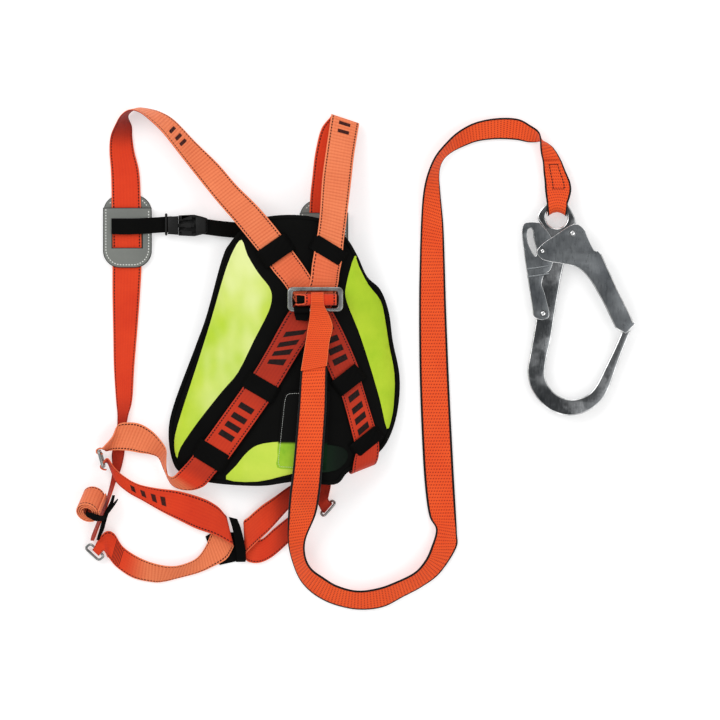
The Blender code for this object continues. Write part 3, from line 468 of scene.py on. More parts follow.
class Strip:
    """A run of webbing lofted through stations: x, y, z of one edge, x, y, z of the other and, if it is
    bowed, how far its middle stands off. A draped one lies at that height on the pad. It ripples by
    wander, and by pleats of (start, end, height, pitch) along it."""

    def __init__(self, stations, thickness=WEB_T, steps=6, drape=None, wander=0.35, pleats=()):
        rows = spline(stations, steps)
        self.a, self.b = rows[:, 0:3], rows[:, 3:6]
        self.bow = rows[:, 6:9] if rows.shape[1] > 6 else None
        self.pleats = pleats
        self.drape = drape
        self.thickness = thickness
        middle = (self.a + self.b) / 2
        jumps = np.linalg.norm(np.diff(middle, axis=0), axis=1)
        self.length = np.concatenate(([0.0], np.cumsum(jumps)))
        self.wander = wander

    def at(self, row, across):
        """Mid-surface point at a row index (may be fractional), across from -1 to 1."""
        low = int(min(max(row, 0), len(self.a) - 1.001))
        t = row - low
        a = self.a[low] * (1 - t) + self.a[low + 1] * t
        b = self.b[low] * (1 - t) + self.b[low + 1] * t
        p = a + (b - a) * (across + 1) / 2
        if self.bow is not None:
            p = p + (self.bow[low] * (1 - t) + self.bow[low + 1] * t) * (1 - across * across)
        ripple = noise.noise(Vector(p) * 0.045) * self.wander
        length = self.length[low] * (1 - t) + self.length[low + 1] * t
        for start, end, height, pitch in self.pleats:
            fade = smooth_step((length - start) / 30) * smooth_step((end - length) / 30)
            ripple += height * fade * math.sin(2 * math.pi * length / pitch + across)
        if self.drape is not None:
            return Vector((p[0], p[1], pad_top(p[0], p[1]) + self.drape + ripple * 0.4))
        return Vector(p) + Vector((0, 0, ripple))

    def normal(self, row, across):
        ahead = self.at(min(row + 0.5, len(self.a) - 1.01), across)
        behind = self.at(max(row - 0.5, 0), across)
        side = self.at(row, min(across + 0.1, 1)) - self.at(row, max(across - 0.1, -1))
        return side.cross(ahead - behind).normalized()

    def row_at(self, length):
        return float(np.interp(length, self.length, np.arange(len(self.length))))

    def mesh(self, name, mat, body, tone):
        """Solid strip; tone(point, outer) is the webbing's tone on its outer or inner face."""
        bm = bmesh.new()
        layer = bm.loops.layers.uv.new("UVMap")
        tones = bm.verts.layers.float.new("tone")
        ring = [(s, h) for s, h in PROFILE] + [(s, -h) for s, h in reversed(PROFILE[1:-1])]
        rows = []
        for i in range(len(self.a)):
            half = self.normal(i, 0.0) * self.thickness
            rows.append([bm.verts.new((self.at(i, s) + half * h) * MM) for s, h in ring])
            middle = (self.a[i] + self.b[i]) / 2
            for vert, (_, h) in zip(rows[-1], ring):
                vert[tones] = tone(middle, h > 0)
        for i, (row, after) in enumerate(zip(rows, rows[1:])):
            for k, face in enumerate(bridge(bm, row, after)):
                n = (k + 1) % len(ring)
                for loop, s, v in zip(face.loops, (k, n, n, k), (i, i, i + 1, i + 1)):
                    loop[layer].uv = ((ring[s][0] + 1) / 2, self.length[v] * MM)
        bm.faces.new(list(reversed(rows[0])))
        bm.faces.new(rows[-1])
        bmesh.ops.recalc_face_normals(bm, faces=bm.faces)
        return finish_mesh(name, bm, [mat], body)


def two_faced(point, outer):
    """Pale ribs outside and the smooth face inside."""
    return 1.0 if outer else 0.0


def strap(name, stations, node, mat="webbing", slot=None, tone=two_faced, body="harness", **options):
    """Webbing piece that stands for a CAD node, and the run that it was lofted from."""
    run = Strip(stations, **options)
    obj = run.mesh(name, mat, body, tone)
    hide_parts(node)
    return run, obj


def patches(name, run, shapes, mat):
    """Thin rectangles on the face of a strip that looks up: where each starts and ends along it, and
    its two sides from -1 to 1 across it."""
    bm = bmesh.new()
    layer = bm.loops.layers.uv.new("UVMap")
    steps = 8
    for start, end, near, far in shapes:
        side = math.copysign(1, run.normal(run.row_at((start + end) / 2), 0.0).z)
        grid = []
        for i in range(steps + 1):
            row = run.row_at(start + (end - start) * i / steps)
            lift = run.normal(row, 0.0) * side * (run.thickness / 2 + MARK_LIFT)
            line = [run.at(row, near + (far - near) * k / steps) + lift for k in range(steps + 1)]
            grid.append([bm.verts.new(p * MM) for p in line])
        for r0, r1 in zip(grid, grid[1:]):
            for k in range(steps):
                face = bm.faces.new((r0[k], r0[k + 1], r1[k + 1], r1[k]))
                for loop, uv in zip(face.loops, ((0, 0), (1, 0), (1, 1), (0, 1))):
                    loop[layer].uv = uv
    bmesh.ops.solidify(bm, geom=list(bm.faces), thickness=MARK_T * MM)
    obj = finish_mesh(name, bm, [mat])


def bars(middle, spread, width, reach):
    """A plain printed mark: short bars across the strap, at the middle plus each distance in spread."""
    return [(middle + d - width / 2, middle + d + width / 2, -reach, reach) for d in spread]


def curve_to_mesh(name, curve):
    """Welded bmesh of a curve's solid."""
    guide = place_object(name, curve)
    depsgraph = bpy.context.evaluated_depsgraph_get()
    mesh = bpy.data.meshes.new_from_object(guide.evaluated_get(depsgraph))
    bpy.data.objects.remove(guide, do_unlink=True)
    bm = bmesh.new()
    bm.from_mesh(mesh)
    bpy.data.meshes.remove(mesh)
    bmesh.ops.remove_doubles(bm, verts=bm.verts, dist=WELD)
    bmesh.ops.recalc_face_normals(bm, faces=bm.faces)
    return bm


def slab_bmesh(outlines, z_range, bevel=0.0):
    """Flat solid with rounded rims from an outer outline and any holes."""
    low, high = z_range
    curve = bpy.data.curves.new("slab", "CURVE")
    curve.dimensions = "2D"
    curve.fill_mode = "BOTH"
    curve.extrude = ((high - low) / 2 - bevel) * MM
    curve.bevel_depth = bevel * MM
    curve.bevel_resolution = 2
    curve.offset = -bevel * MM
    for outline in outlines:
        path = curve.splines.new("POLY")
        path.points.add(len(outline) - 1)
        for point, corner in zip(path.points, outline):
            point.co = (corner[0] * MM, corner[1] * MM, 0, 1)
        path.use_cyclic_u = True
    bm = curve_to_mesh("slab", curve)
    bmesh.ops.translate(bm, verts=bm.verts, vec=(0, 0, (low + high) / 2 * MM))
    return bm


def join_bmeshes(parts):
    """One bmesh of several, which it frees."""
    whole = bmesh.new()
    for part in parts:
        mesh = bpy.data.meshes.new("part")
        part.to_mesh(mesh)
        part.free()
        whole.from_mesh(mesh)
        bpy.data.meshes.remove(mesh)
    return whole


def rims_take_second_material(bm):
    """Rounded rims take the second material."""
    for face in bm.faces:
        if 0.12 < abs(face.normal.z) < 0.97:
            face.material_index = 1


def slab(name, outlines, z_range, mat, node, *, bevel, edge=None, body="harness"):
    """Flat plate that stands for a CAD node; edge is the material of its rounded rims."""
    bm = slab_bmesh(outlines, z_range, bevel)
    if edge:
        rims_take_second_material(bm)
    stand_in(name, bm, [mat, edge] if edge else [mat], node, body)


def tube_bmesh(points, radius, closed=False, resolution=4):
    """Round rod along points."""
    curve = bpy.data.curves.new("tube", "CURVE")
    curve.dimensions = "3D"
    curve.bevel_depth = radius * MM
    curve.bevel_resolution = resolution
    curve.use_fill_caps = True
    path = curve.splines.new("POLY")
    path.points.add(len(points) - 1)
    for point, place in zip(path.points, points):
        point.co = (place[0] * MM, place[1] * MM, place[2] * MM, 1)
    path.use_cyclic_u = closed
    return curve_to_mesh("tube", curve)


def rounded_box(centre, size, corner, arc=8):
    """Outline of a rectangle with round corners, each of arc + 1 points."""
    out = []
    half_x, half_y = size[0] / 2 - corner, size[1] / 2 - corner
    for quarter, (sx, sy) in enumerate(((1, 1), (-1, 1), (-1, -1), (1, -1))):
        for k in range(arc + 1):
            angle = math.pi / 2 * (quarter + k / arc)
            out.append((centre[0] + sx * half_x + corner * math.cos(angle),
                        centre[1] + sy * half_y + corner * math.sin(angle)))
    return out


def rectangle(x0, x1, y0, y1):
    """Outline of a rectangle with sharp corners."""
    return [(x0, y0), (x1, y0), (x1, y1), (x0, y1)]


def mirrored(half, middle):
    """Outline from the corners of its lower half, each an x and a distance from the middle y."""
    return [(x, middle - d) for x, d in half] + [(x, middle + d) for x, d in reversed(half)]


def circle(centre, radius, count=40):
    return [(centre[0] + radius * math.cos(2 * math.pi * k / count),
             centre[1] + radius * math.sin(2 * math.pi * k / count)) for k in range(count)]


def edge_distance(x, y, outline):
    """Distance from (x, y) to a closed outline (an array of corners)."""
    start = outline
    step = np.roll(outline, -1, axis=0) - start
    rel = np.array((x, y)) - start
    t = np.clip((rel * step).sum(1) / np.maximum((step * step).sum(1), 1e-9), 0, 1)
    gap = rel - step * t[:, None]
    return float(np.sqrt((gap * gap).sum(1).min()))


def stitches(name, body, path, place, pitch, width, share=0.62):
    """A row of sewn stitches along a flat path; place(x, y) gives the surface height."""
    points = np.array([p[:2] for p in path], dtype=float)
    jumps = np.linalg.norm(np.diff(points, axis=0), axis=1)
    total = np.concatenate(([0.0], np.cumsum(jumps)))
    bm = bmesh.new()
    for k in range(int(total[-1] / pitch)):
        ends = []
        for at in (k * pitch, k * pitch + pitch * share):
            x = float(np.interp(at, total, points[:, 0]))
            y = float(np.interp(at, total, points[:, 1]))
            ends.append(Vector((x, y, place(x, y))))
        along = ends[1] - ends[0]
        if along.length < 0.5:
            continue
        middle = (ends[0] + ends[1]) / 2
        turn = along.to_track_quat("X", "Z").to_matrix().to_4x4()
        size = Matrix.Diagonal((along.length / 2, width / 2, 0.4, 1))
        matrix = Matrix.Scale(MM, 4) @ Matrix.Translation(middle) @ turn @ size
        bmesh.ops.create_uvsphere(bm, u_segments=8, v_segments=5, radius=1.0, matrix=matrix)
    obj = finish_mesh(name, bm, ["thread_light"], body)


# ---------------------------------------------------------------- back pad

PAD_INSET = 4.7
PAD_EDGE = spline([
    (-22, 118), (-43, 42), (-60, -5), (-90, -85), (-97, -125), (-91, -163), (-76, -180),
    (-38, -191), (30, -195), (80, -189), (133, -193), (152, -176), (184, -158), (206, -135),
    (220, -95), (223.6, -45), (214, 5), (208.5, 45), (197, 76), (178, 95), (164, 125), (148, 150),
    (122, 171), (85, 179), (40, 177), (12, 165), (-10, 142),
], 6, closed=True)


def outline_normals(outline):
    """Outward directions at the corners of a counterclockwise outline."""
    tangent = np.roll(outline, -1, axis=0) - np.roll(outline, 1, axis=0)
    return np.stack((tangent[:, 1], -tangent[:, 0]), 1) / np.linalg.norm(tangent, axis=1)[:, None]


PAD_OUTLINE = PAD_EDGE - outline_normals(PAD_EDGE) * PAD_INSET


def pad_top(x, y):
    """Height of the pad's top face, rounded down towards its edge."""
    inside = edge_distance(x, y, PAD_OUTLINE)
    drop = 3.2 * (1 - min(inside / 16, 1)) ** 2
    wave = noise.noise(Vector((x * 0.016, y * 0.016, 0.3))) * 1.1
    return arch(x) + PAD_T - drop + wave


def cut_grid(bm, cell):
    """Cut a mesh along a grid so that it can follow a curved surface."""
    xs = [v.co.x / MM for v in bm.verts]
    ys = [v.co.y / MM for v in bm.verts]
    for values, axis in ((xs, 0), (ys, 1)):
        at = math.ceil(min(values) / cell) * cell
        while at < max(values):
            normal = [0, 0, 0]
            normal[axis] = 1
            bmesh.ops.bisect_plane(
                bm, geom=list(bm.verts) + list(bm.edges) + list(bm.faces), dist=0.0000001,
                plane_co=[n * at * MM for n in normal], plane_no=normal)
            at += cell


def draped_piece(name, outline, layer, mat, node, cell=7.0, puff=0.0, roll=4.0,
                 uv_axis=None, ends=None):
    """Sewn piece lying on the pad between two heights above it, rolled down at its edges. uv_axis is
    the direction, centre and width of a band of webbing. At the two points in ends the piece comes down
    to the pad, where it is sewn on."""
    low, high = layer
    bm = slab_bmesh([outline], (0, 1))
    bmesh.ops.triangulate(bm, faces=bm.faces)
    cut_grid(bm, cell)
    rim = np.array([p[:2] for p in outline], dtype=float)
    layer_uv = bm.loops.layers.uv.new("UVMap")
    for vert in bm.verts:
        x, y = vert.co.x / MM, vert.co.y / MM
        base = pad_top(x, y)
        if ends:
            a, b = ends
            run = (b - a).length
            at = (Vector((x, y)) - a).dot(b - a) / run
            base -= (low - 0.3) * (1 - smooth_step(min(at, run - at) / 6))
        if vert.co.z < 0.0005:
            vert.co.z = (base + low) * MM
            continue
        near = edge_distance(x, y, rim)
        down = (1 - min(near / roll, 1)) ** 2 * (high - low) * 0.6
        swell = puff * (smooth_step(near / 22) + 0.9 * noise.noise(Vector((x * 0.05, y * 0.022, 1.7))))
        vert.co.z = (base + high - down + swell) * MM
    if uv_axis:
        along = Vector(uv_axis[0]).normalized()
        centre, width = Vector(uv_axis[1]), uv_axis[2]
        for face in bm.faces:
            for loop in face.loops:
                rel = Vector(loop.vert.co[:2]) / MM - centre
                side = rel.x * along.y - rel.y * along.x
                loop[layer_uv].uv = (side / width + 0.5, rel.dot(along) * MM)
    bmesh.ops.recalc_face_normals(bm, faces=bm.faces)
    return stand_in(name, bm, [mat], node)


def make_pad():
    """Padded back piece: rings of points shrinking to its middle, above and below, and its piping."""
    centre = np.array((70.0, -20.0))
    bm = bmesh.new()
    shares = [1.0, 0.985, 0.96, 0.92] + [0.86 - 0.86 * k / 16 for k in range(16)]
    rings = []
    for rise, share in [(0.5, 1.0)] + [(1, s) for s in shares] + [(0, s) for s in shares]:
        ring = []
        for corner in PAD_OUTLINE:
            x, y = centre + (corner - centre) * share
            bottom = arch(x) + 1.0
            z = bottom + (pad_top(x, y) - bottom) * rise
            ring.append(bm.verts.new((x * MM, y * MM, z * MM)))
        rings.append(ring)
    uppers = 1 + len(shares)
    order = rings[uppers - 1::-1] + rings[uppers:]
    for first, second in zip(order, order[1:]):
        bridge(bm, first, second)
    bm.faces.new(order[0])
    bm.faces.new(list(reversed(order[-1])))
    bmesh.ops.remove_doubles(bm, verts=bm.verts, dist=5 * WELD)
    bmesh.ops.recalc_face_normals(bm, faces=bm.faces)
    pad = stand_in("back_pad_padded", bm, ["pad_black"], "back_pad")

    rim = PAD_OUTLINE + outline_normals(PAD_OUTLINE) * 2.6
    path = [(x, y, arch(x) + 6.4) for x, y in rim]
    piping = tube_bmesh(path, PIPING_R, closed=True)
    stand_in("pad_piping_cord", piping, ["pad_black"], "pad_piping")


def make_panels():
    """Three hi-vis panels and the label pocket with its white seam."""
    left = [
        (5, 146), (13, 125), (28, 100), (43, 81), (47, 66), (42, 45), (22, 6), (0, -38),
        (-22, -64), (-57, -108), (-81, -143), (-86, -158), (-90, -140), (-85, -111),
        (-57, -25), (-38, 35), (-19, 100), (-6, 133),
    ]
    right = [
        (162, 124), (150, 82), (151, 60), (167, 20), (182, -25), (197, -76), (207, -117),
        (214, -100), (217, -76), (217.5, -40), (210, 0), (204.5, 35), (198, 62), (181, 84), (168, 109),
    ]
    lower = [
        (-17, -187), (-3, -168), (15, -147), (35, -137), (75, -134), (110, -137), (146, -143),
        (152, -158), (136, -174), (100, -178), (75, -179), (27, -190),
    ]
    for name, corners in (("left", left), ("right", right), ("lower", lower)):
        outline = spline(corners, 3, closed=True)
        panel = draped_piece("hi_vis_cloth_" + name, outline, (0.2, 1.6), "hi_vis_lime",
                             "hi_vis_panel_" + name, cell=6.0, puff=1.2, roll=3.0)
    pocket = [
        (128, -64), (72, -64.5), (65, -67), (62, -77), (57, -125), (53, -164), (54.5, -170), (60, -172),
        (122, -174), (125, -120),
    ]
    pouch = draped_piece("label_pocket_cloth", pocket, (2.0, 3.0), "pocket_cloth", "label_pocket")
    seam = [(98, -67), (72, -67.5), (67.5, -70), (65, -79), (60, -126), (56, -163), (58, -169), (98, -171)]
    stitches("label_pocket_seam", "harness", seam, lambda x, y: pad_top(x, y) + 2.9,
             pitch=2.6, width=0.6, share=0.7)


# Strips of webbing from here on are lists of stations, as in Strip.
LEFT_BACK = [
    (36.5, 119.5, 0, 68.5, 141.5, 0), (50, 101, 0, 81, 124, 0), (69, 77, 0, 97, 101, 0),
    (101, 22, 0, 137, 36, 0), (130, -45, 0, 165, -25, 0), (144, -71, 0, 171, -50, 0),
    (162, -137, 0, 190, -113, 0), (163, -146, 0, 194, -124, 0),
]
RIGHT_BACK = [
    (108, 141.5, 0, 145, 119, 0), (103, 112, 0, 141, 100, 0), (97, 78, 0, 138, 80, 0),
    (70, 45, 0, 126, 45, 0), (40, -8, 0, 92, 0, 0), (22, -38, 0, 57, -57, 0), (6, -60, 0, 42, -81, 0),
    (-46, -132, 0, -10, -154, 0), (-55.5, -143.5, 0, -19.5, -165, 0),
]


def back_tone(point, outer):
    """Pale above the dorsal ring; below it a painted shade, darkest in the windows just below the ring."""
    return -0.7 + 1.35 * smooth_step((point[1] - 52) / 14) + 0.3 * smooth_step((-60 - point[1]) / 40)


def make_back_straps():
    """Two straps that cross on the pad under the dorsal ring, with printed marks."""
    left, _ = strap("back_webbing_left", LEFT_BACK, "back_strap_left", tone=back_tone, drape=3.3)
    right, _ = strap("back_webbing_right", RIGHT_BACK, "back_strap_right", tone=back_tone, drape=5.7)
    for name, run, middles in (("left", left, (151, 252)), ("right", right, (148, 272))):
        for k, middle in enumerate(middles):
            marks = bars(middle, (25, 10, -5, -22), 8.5, 0.52)
            patches(f"back_print_{name}_{k + 1}", run, marks, "print_black")


def make_keepers():
    """Six black bands sewn across the back straps."""
    bands = {
        "upper_left": ((31, 116), (73, 145), 27), "upper_right": ((102.5, 145), (149, 117), 22),
        "middle_left": ((9, -46), (54, -72), 24), "middle_right": ((135, -63), (172, -34), 25),
        "lower_left": ((-60, -141), (-15, -168), 27), "lower_right": ((159, -150), (198, -119), 21),
    }
    for name, (start, end, width) in bands.items():
        a, b = Vector(start), Vector(end)
        along = (b - a).normalized()
        side = Vector((-along.y, along.x)) * width / 2
        outline = [tuple(a - side), tuple(b - side), tuple(b + side), tuple(a + side)]
        draped_piece("keeper_band_" + name, outline, (7.0, 8.6), "webbing_black", "keeper_" + name,
                     cell=3.0, uv_axis=(along, (a + b) / 2, width), ends=(a, b))


# ---------------------------------------------------------------- dorsal attachment

def arc_stations(x_range, centre, radius, angles, tail=(), count=16):
    """Stations of webbing wrapped round a bar along X, with any more after them."""
    first, last = (math.radians(a) for a in angles)
    out = []
    for k in range(count + 1):
        angle = first + (last - first) * k / count
        y = centre[0] + radius * math.cos(angle)
        z = centre[1] + radius * math.sin(angle)
        out.append((x_range[0], y, z, x_range[1], y, z))
    return out + list(tail)


def make_dorsal():
    """Dorsal ring, the roll of webbing under it, whose top is narrower, and the tab that holds it. A black
    tube inside the roll is painted shade.
    """
    outer = rounded_box((107.5, 63.0), (77, 34), 7)
    window = rounded_box((107.5, 62.6), (62, 22.4), 3)
    slab("dorsal_ring_steel", [outer, window], (RING_Z - 2.6, RING_Z + 2.6), "steel", "dorsal_ring",
         bevel=1.7, body="dorsal_ring")
    start, end, count = -118, 212, 40
    loop = arc_stations(ROLL_X, (ROLL_Y, ROLL_Z), ROLL_R, (start, end), count=count)
    for k, station in enumerate(loop):
        facing_up = math.cos(math.radians(start + (end - start) * k / count - 90))
        notch = 13 * smooth_step((facing_up + 0.1) / 0.9)
        loop[k] = (station[0] + notch, *station[1:])
    # The roll's webbing leans a little into the shaded colour: a painted shade.
    strap("dorsal_loop_webbing", loop, "dorsal_webbing_loop", tone=lambda p, o: -0.1, steps=2, wander=0)
    tail = [(79, 40, 67.4, 99, 39, 67.4), (81, 34, 67.4, 97, 33, 67.4)]
    strap("ring_tab_webbing",
          arc_stations((78, 99.5), (RING_Y, RING_Z), 4.2, (-60, 215), tail, count=18),
          "ring_anchor_tab", "webbing_black", steps=2, thickness=1.5, wander=0)
    # A black tube inside the roll, where there is only shade: painted shade.
    painted_shade_core = tube_bmesh([(x, ROLL_Y, ROLL_Z) for x in (82, 100, 118, 134)], ROLL_R - 1.6, resolution=6)
    finish_mesh("dorsal_loop_painted_shade", painted_shade_core, ["pad_black"])


# ---------------------------------------------------------------- harness webbing

# The shoulder straps run from the pad over the top and down to the leg buckles.
SHOULDER_LEFT = [
    (36, 120.4, 53.6, 68, 142.4, 59.2), (22, 138, 50, 54, 161, 56), (-4, 170, 44, 28, 192, 50.6),
    (-30, 200, 40, -2, 222, 40), (-55, 231, 37, -28, 252, 26), (-80, 263, 34, -60, 283, 14),
    (-104, 294, 36, -89, 313, 7), (-122, 312, 39, -108, 325, 4), (-137, 323.5, 41, -125, 330, 2.5),
    (-151, 326.5, 41.5, -143, 331, 2), (-163, 319, 40, -155, 321, 2), (-172, 305, 31, -150, 306, 2.5),
    (-179, 290, 19, -149, 290, 3), (-181, 270, 8, -146, 270, 4), (-179, 240, 4.4, -139, 240, 4.4),
    (-178, 193, 4.4, -137, 193, 4.4), (-177, 119, 4.4, -136, 119, 4.4), (-177, 75, 4.4, -138, 75, 4.4),
    (-176, 20, 3, -142, 20, 5), (-175, -30, 3, -146, -30, 8), (-172, -77, 3, -149, -77, 8),
    (-170, -100, 3, -155, -100, 6), (-172, -130, 3, -160, -130, 4), (-178, -152, 3, -160, -151, 4),
    (-177, -172, 3, -165, -174, 4), (-179, -190, 3, -172, -191, 6),
    (-184, -212, 5, -178.5, -211, 20), (-191.5, -232, 5, -185.5, -231, 24), (-201, -255, 4, -195, -254, 20),
    (-205.5, -267, 5, -200, -267, 17), (-207, -273.5, 6, -203, -273.5, 14),
]
SHOULDER_RIGHT = [
    (108, 142.4, 62.2, 145, 119.8, 56.4), (111, 158, 62, 147, 145, 56), (114, 185, 60, 151, 175, 54.5),
    (117, 231, 45, 157, 225, 43), (122, 270, 34, 161, 262, 32), (127, 305, 23, 166, 294, 22),
    (129, 319, 17, 168, 306, 16), (129, 322, 12, 168, 309, 11.5), (128, 319, 7.5, 167, 306, 7.5),
    (115, 302, 5, 154, 287, 5), (107, 270, 4.4, 147, 262, 4.4), (103, 238, 4.4, 143, 238, 4.4),
    (99, 195, 4.4, 140, 195, 4.4), (98, 120, 4.4, 139, 120, 4.4), (99, 60, 4.4, 139, 60, 4.4),
    (103, 0, 4, 141, 0, 4), (106, -60, 4, 138, -60, 4), (108, -120, 4, 130, -120, 4),
    (112, -165, 4, 129, -165, 4), (112, -193, 4, 129, -193, 6), (110, -216, 6, 126, -209, 12),
    (112, -225, 8, 125, -215, 12), (116.3, -232.9, 7.4, 128.1, -219.3, 7.4),
    (118.7, -235, 4.6, 130.5, -221.4, 4.6), (116, -232.7, 1.8, 128, -219.2, 1.8),
]
# The waist straps run down from the pad, fold back and go round the hip rings.
WAIST_LEFT = [
    (-56, -144.3, 31, -20.5, -165.8, 40.5), (-68, -160, 29, -34, -181, 37),
    (-83, -176, 27, -48, -197, 28), (-93, -184, 25, -69, -203, 14), (-101, -178, 27, -92, -197, 8),
    (-101, -160, 31, -104, -176, 8), (-101, -145, 31, -112, -158, 9),
    (-110, -131, 24, -124, -153, 11), (-122, -119, 18, -138, -151, 12),
    (-138, -110, 15, -154, -148, 13), (-154, -108, 15, -170, -147, 14), (-168, -111, 18, -181, -148, 14),
    (-175, -127, 24, -186, -148.5, 12), (-188, -142.5, 32, -188.5, -146.5, 9),
    (-191.5, -144.4, 33, -191.5, -144.6, 9), (-194.5, -144.4, 33, -194.5, -144.4, 9),
    (-197.3, -146.6, 33, -197.3, -146.6, 9), (-197.3, -149.8, 33, -197.3, -149.8, 9),
    (-194.5, -152, 33, -194.5, -152, 9), (-190, -151.8, 32, -190, -151.8, 10),
]
WAIST_RIGHT = [
    (164.5, -147.5, 48.3, 194.5, -124.5, 34.3), (161, -161, 50.2, 196, -142, 34.5),
    (159.5, -170.5, 50, 195.5, -153, 34.5), (159, -176, 46, 193.5, -161, 30),
    (157.5, -178.8, 36, 190.5, -166, 22), (154.5, -178.5, 24, 186, -165.5, 13),
    (151, -171, 12, 180, -158, 6), (150, -158, 6, 168, -146, 4),
    (144, -149, 7, 160, -135, 7), (140, -139, 7.6, 153.5, -126, 7.6), (133.5, -131.5, 5, 146.5, -118.5, 5),
]
# The leg straps run from the hip rings to the link between them and back to the leg buckles.
LEG_LEFT = [
    (-184.5, -174.2, 27, -184.5, -174.2, 12), (-188.4, -173.6, 28, -188.4, -173.6, 11),
    (-191.8, -171.4, 28, -191.8, -171.4, 11), (-192, -168, 28, -192, -168, 11),
    (-189.2, -165.4, 29, -189.2, -165.6, 11), (-182.5, -158, 29, -182.5, -166, 12),
    (-173, -171, 25, -172, -190, 12), (-160, -183, 19, -155, -206, 9),
    (-141, -194, 13, -134, -218, 8), (-115, -200, 10, -108, -233, 8), (-84, -204, 10, -84, -245, 10),
    (-50, -214, 11, -59, -257, 11), (-30, -225, 11.5, -33, -266, 11.5), (-20, -236, 11, -12, -277, 11),
    (-18, -240, 7, -8, -281, 7), (-21, -242, 4, -9, -286, 4),
    (-36, -258, 3.4, -18, -300, 3.4), (-46, -280, 5, -38, -311, 3.4), (-58, -297, 10, -57, -319, 3),
    (-76, -306, 14, -84, -326, 3), (-95, -309, 14, -104, -331, 3), (-118, -305, 12, -120, -332, 2.5),
    (-141, -296, 8, -148, -326, 3), (-162, -282, 5, -171, -311, 3), (-174, -264, 5, -182, -298, 5),
    (-184, -260, 8, -183.5, -297, 8), (-192, -266, 12, -185.5, -291, 15.6),
    (-198, -275, 15.2, -189.5, -287, 15.6), (-202.1, -283.1, 14.8, -192.9, -291.7, 14.8),
    (-204.4, -285.6, 12, -195.2, -294.2, 12), (-202.1, -283.1, 9.2, -192.9, -291.7, 9.2),
    (-197, -277.6, 7, -187.8, -286.2, 7),
]
LEG_RIGHT = [
    (116, -170, 15, 128, -186, 15), (92, -186, 12, 100, -204, 12), (71, -197, 9, 74, -225, 9),
    (50, -212, 9, 44, -258, 9), (31, -225, 9, 25, -276, 9), (14, -240, 9, 13, -288, 9),
    (7, -247, 6, 9, -294, 6), (14, -262, 3.4, 12, -303, 3.4), (30, -272, 3.4, 28, -305, 3.4),
    (50, -256, 3.4, 46, -297, 3.4), (70, -240, 3.4, 68, -278, 3.4), (88, -228, 3.4, 88, -258, 3.4),
    (98, -223, 3.4, 101, -240, 3.4),
]


def shoulder_tone(point, outer):
    """Pale outside; the inside takes a painted shade, darkest in the fold over the top and below the slider.
    """
    if outer:
        return 1.0
    fold = smooth_step((point[1] - 262) / 50) * smooth_step((-90 - point[0]) / 40)
    return -0.85 * max(fold, 0.8 * smooth_step((-40 - point[1]) / 90))


def waist_tone(point, outer):
    """The face that shows turns from pale to a painted shade where it reaches the pad."""
    return 0.0 if outer else 0.95 - 1.5 * smooth_step((point[0] + 88) / 34)


def leg_tone(point, outer):
    """Saturated on the upper run, with a painted shade towards the leg link, and pale on the lower run until
    it nears the buckle.
    """
    if outer:
        return -0.25 * smooth_step((point[0] + 110) / 90)
    return 0.95 * smooth_step((point[0] + 172) / 55)


def make_webbing():
    """Shoulder, waist and leg straps with their printed marks and bar tacks."""
    left, _ = strap("shoulder_webbing_left", SHOULDER_LEFT, "shoulder_strap_left", tone=shoulder_tone)
    patches("shoulder_print_left", left, bars(212, (13, 0, -10), 5, 0.4), "print_dark")
    right, _ = strap("shoulder_webbing_right", SHOULDER_RIGHT, "shoulder_strap_right", tone=shoulder_tone)
    patches("shoulder_print_right", right, bars(175, (9, -3), 5, 0.4), "print_dark")
    strap("waist_webbing_left", WAIST_LEFT, "waist_strap_left", tone=waist_tone)
    # The right waist strap is a painted shade along its whole length.
    strap("waist_webbing_right", WAIST_RIGHT, "waist_strap_right", tone=lambda p, o: -0.5)
    leg, _ = strap("leg_webbing_left", LEG_LEFT, "leg_strap_left", tone=leg_tone)
    patches("leg_print_left", leg, bars(98, (26, 12, -4, -20), 7, 0.36), "print_dark")
    tacks = bars(leg.length[-1] - 60, (8, 5.5, 3, 0.5, -2, -4.5, -7), 0.9, 0.8)
    patches("leg_bar_tacks_left", leg, tacks, "thread_dark")
    # The right leg strap turns to a painted shade towards the pad, on both faces.
    strap("leg_webbing_right", LEG_RIGHT, "leg_strap_right",
          tone=lambda p, o: 0.15 - 0.9 * smooth_step((p[0] - 20) / 60))


def make_leg_link():
    """The black patch that joins the two leg straps, and the band over them."""
    base = [(-47, -268), (-37, -262), (3, -262), (10, -296), (4, -301), (-27, -308), (-40, -288)]
    slab("leg_link_cloth", [base], (0.1, 1.6), "webbing_black", "leg_link_base", bevel=0.5)
    band = [
        (-14, -240, 13.6, -2, -243, 13.6), (-9, -256, 13.8, 3, -256, 13.8), (-5, -276, 13.8, 8, -276, 13.8),
        (-3, -291, 13.2, 10, -291, 13.2), (-3, -300, 9, 10, -300, 9), (-4, -303, 4, 9, -303, 4),
    ]
    strap("leg_link_webbing", band, "leg_link_band", "webbing_black", thickness=1.5)


def frame_path(centre, along, across, corner):
    """Rectangular ring with round corners, from the half sides along and across."""
    u, v = Vector(along), Vector(across)
    flat = rounded_box((0, 0), (2 * u.length, 2 * v.length), corner, arc=6)
    return [Vector(centre) + u.normalized() * x + v.normalized() * y for x, y in flat]


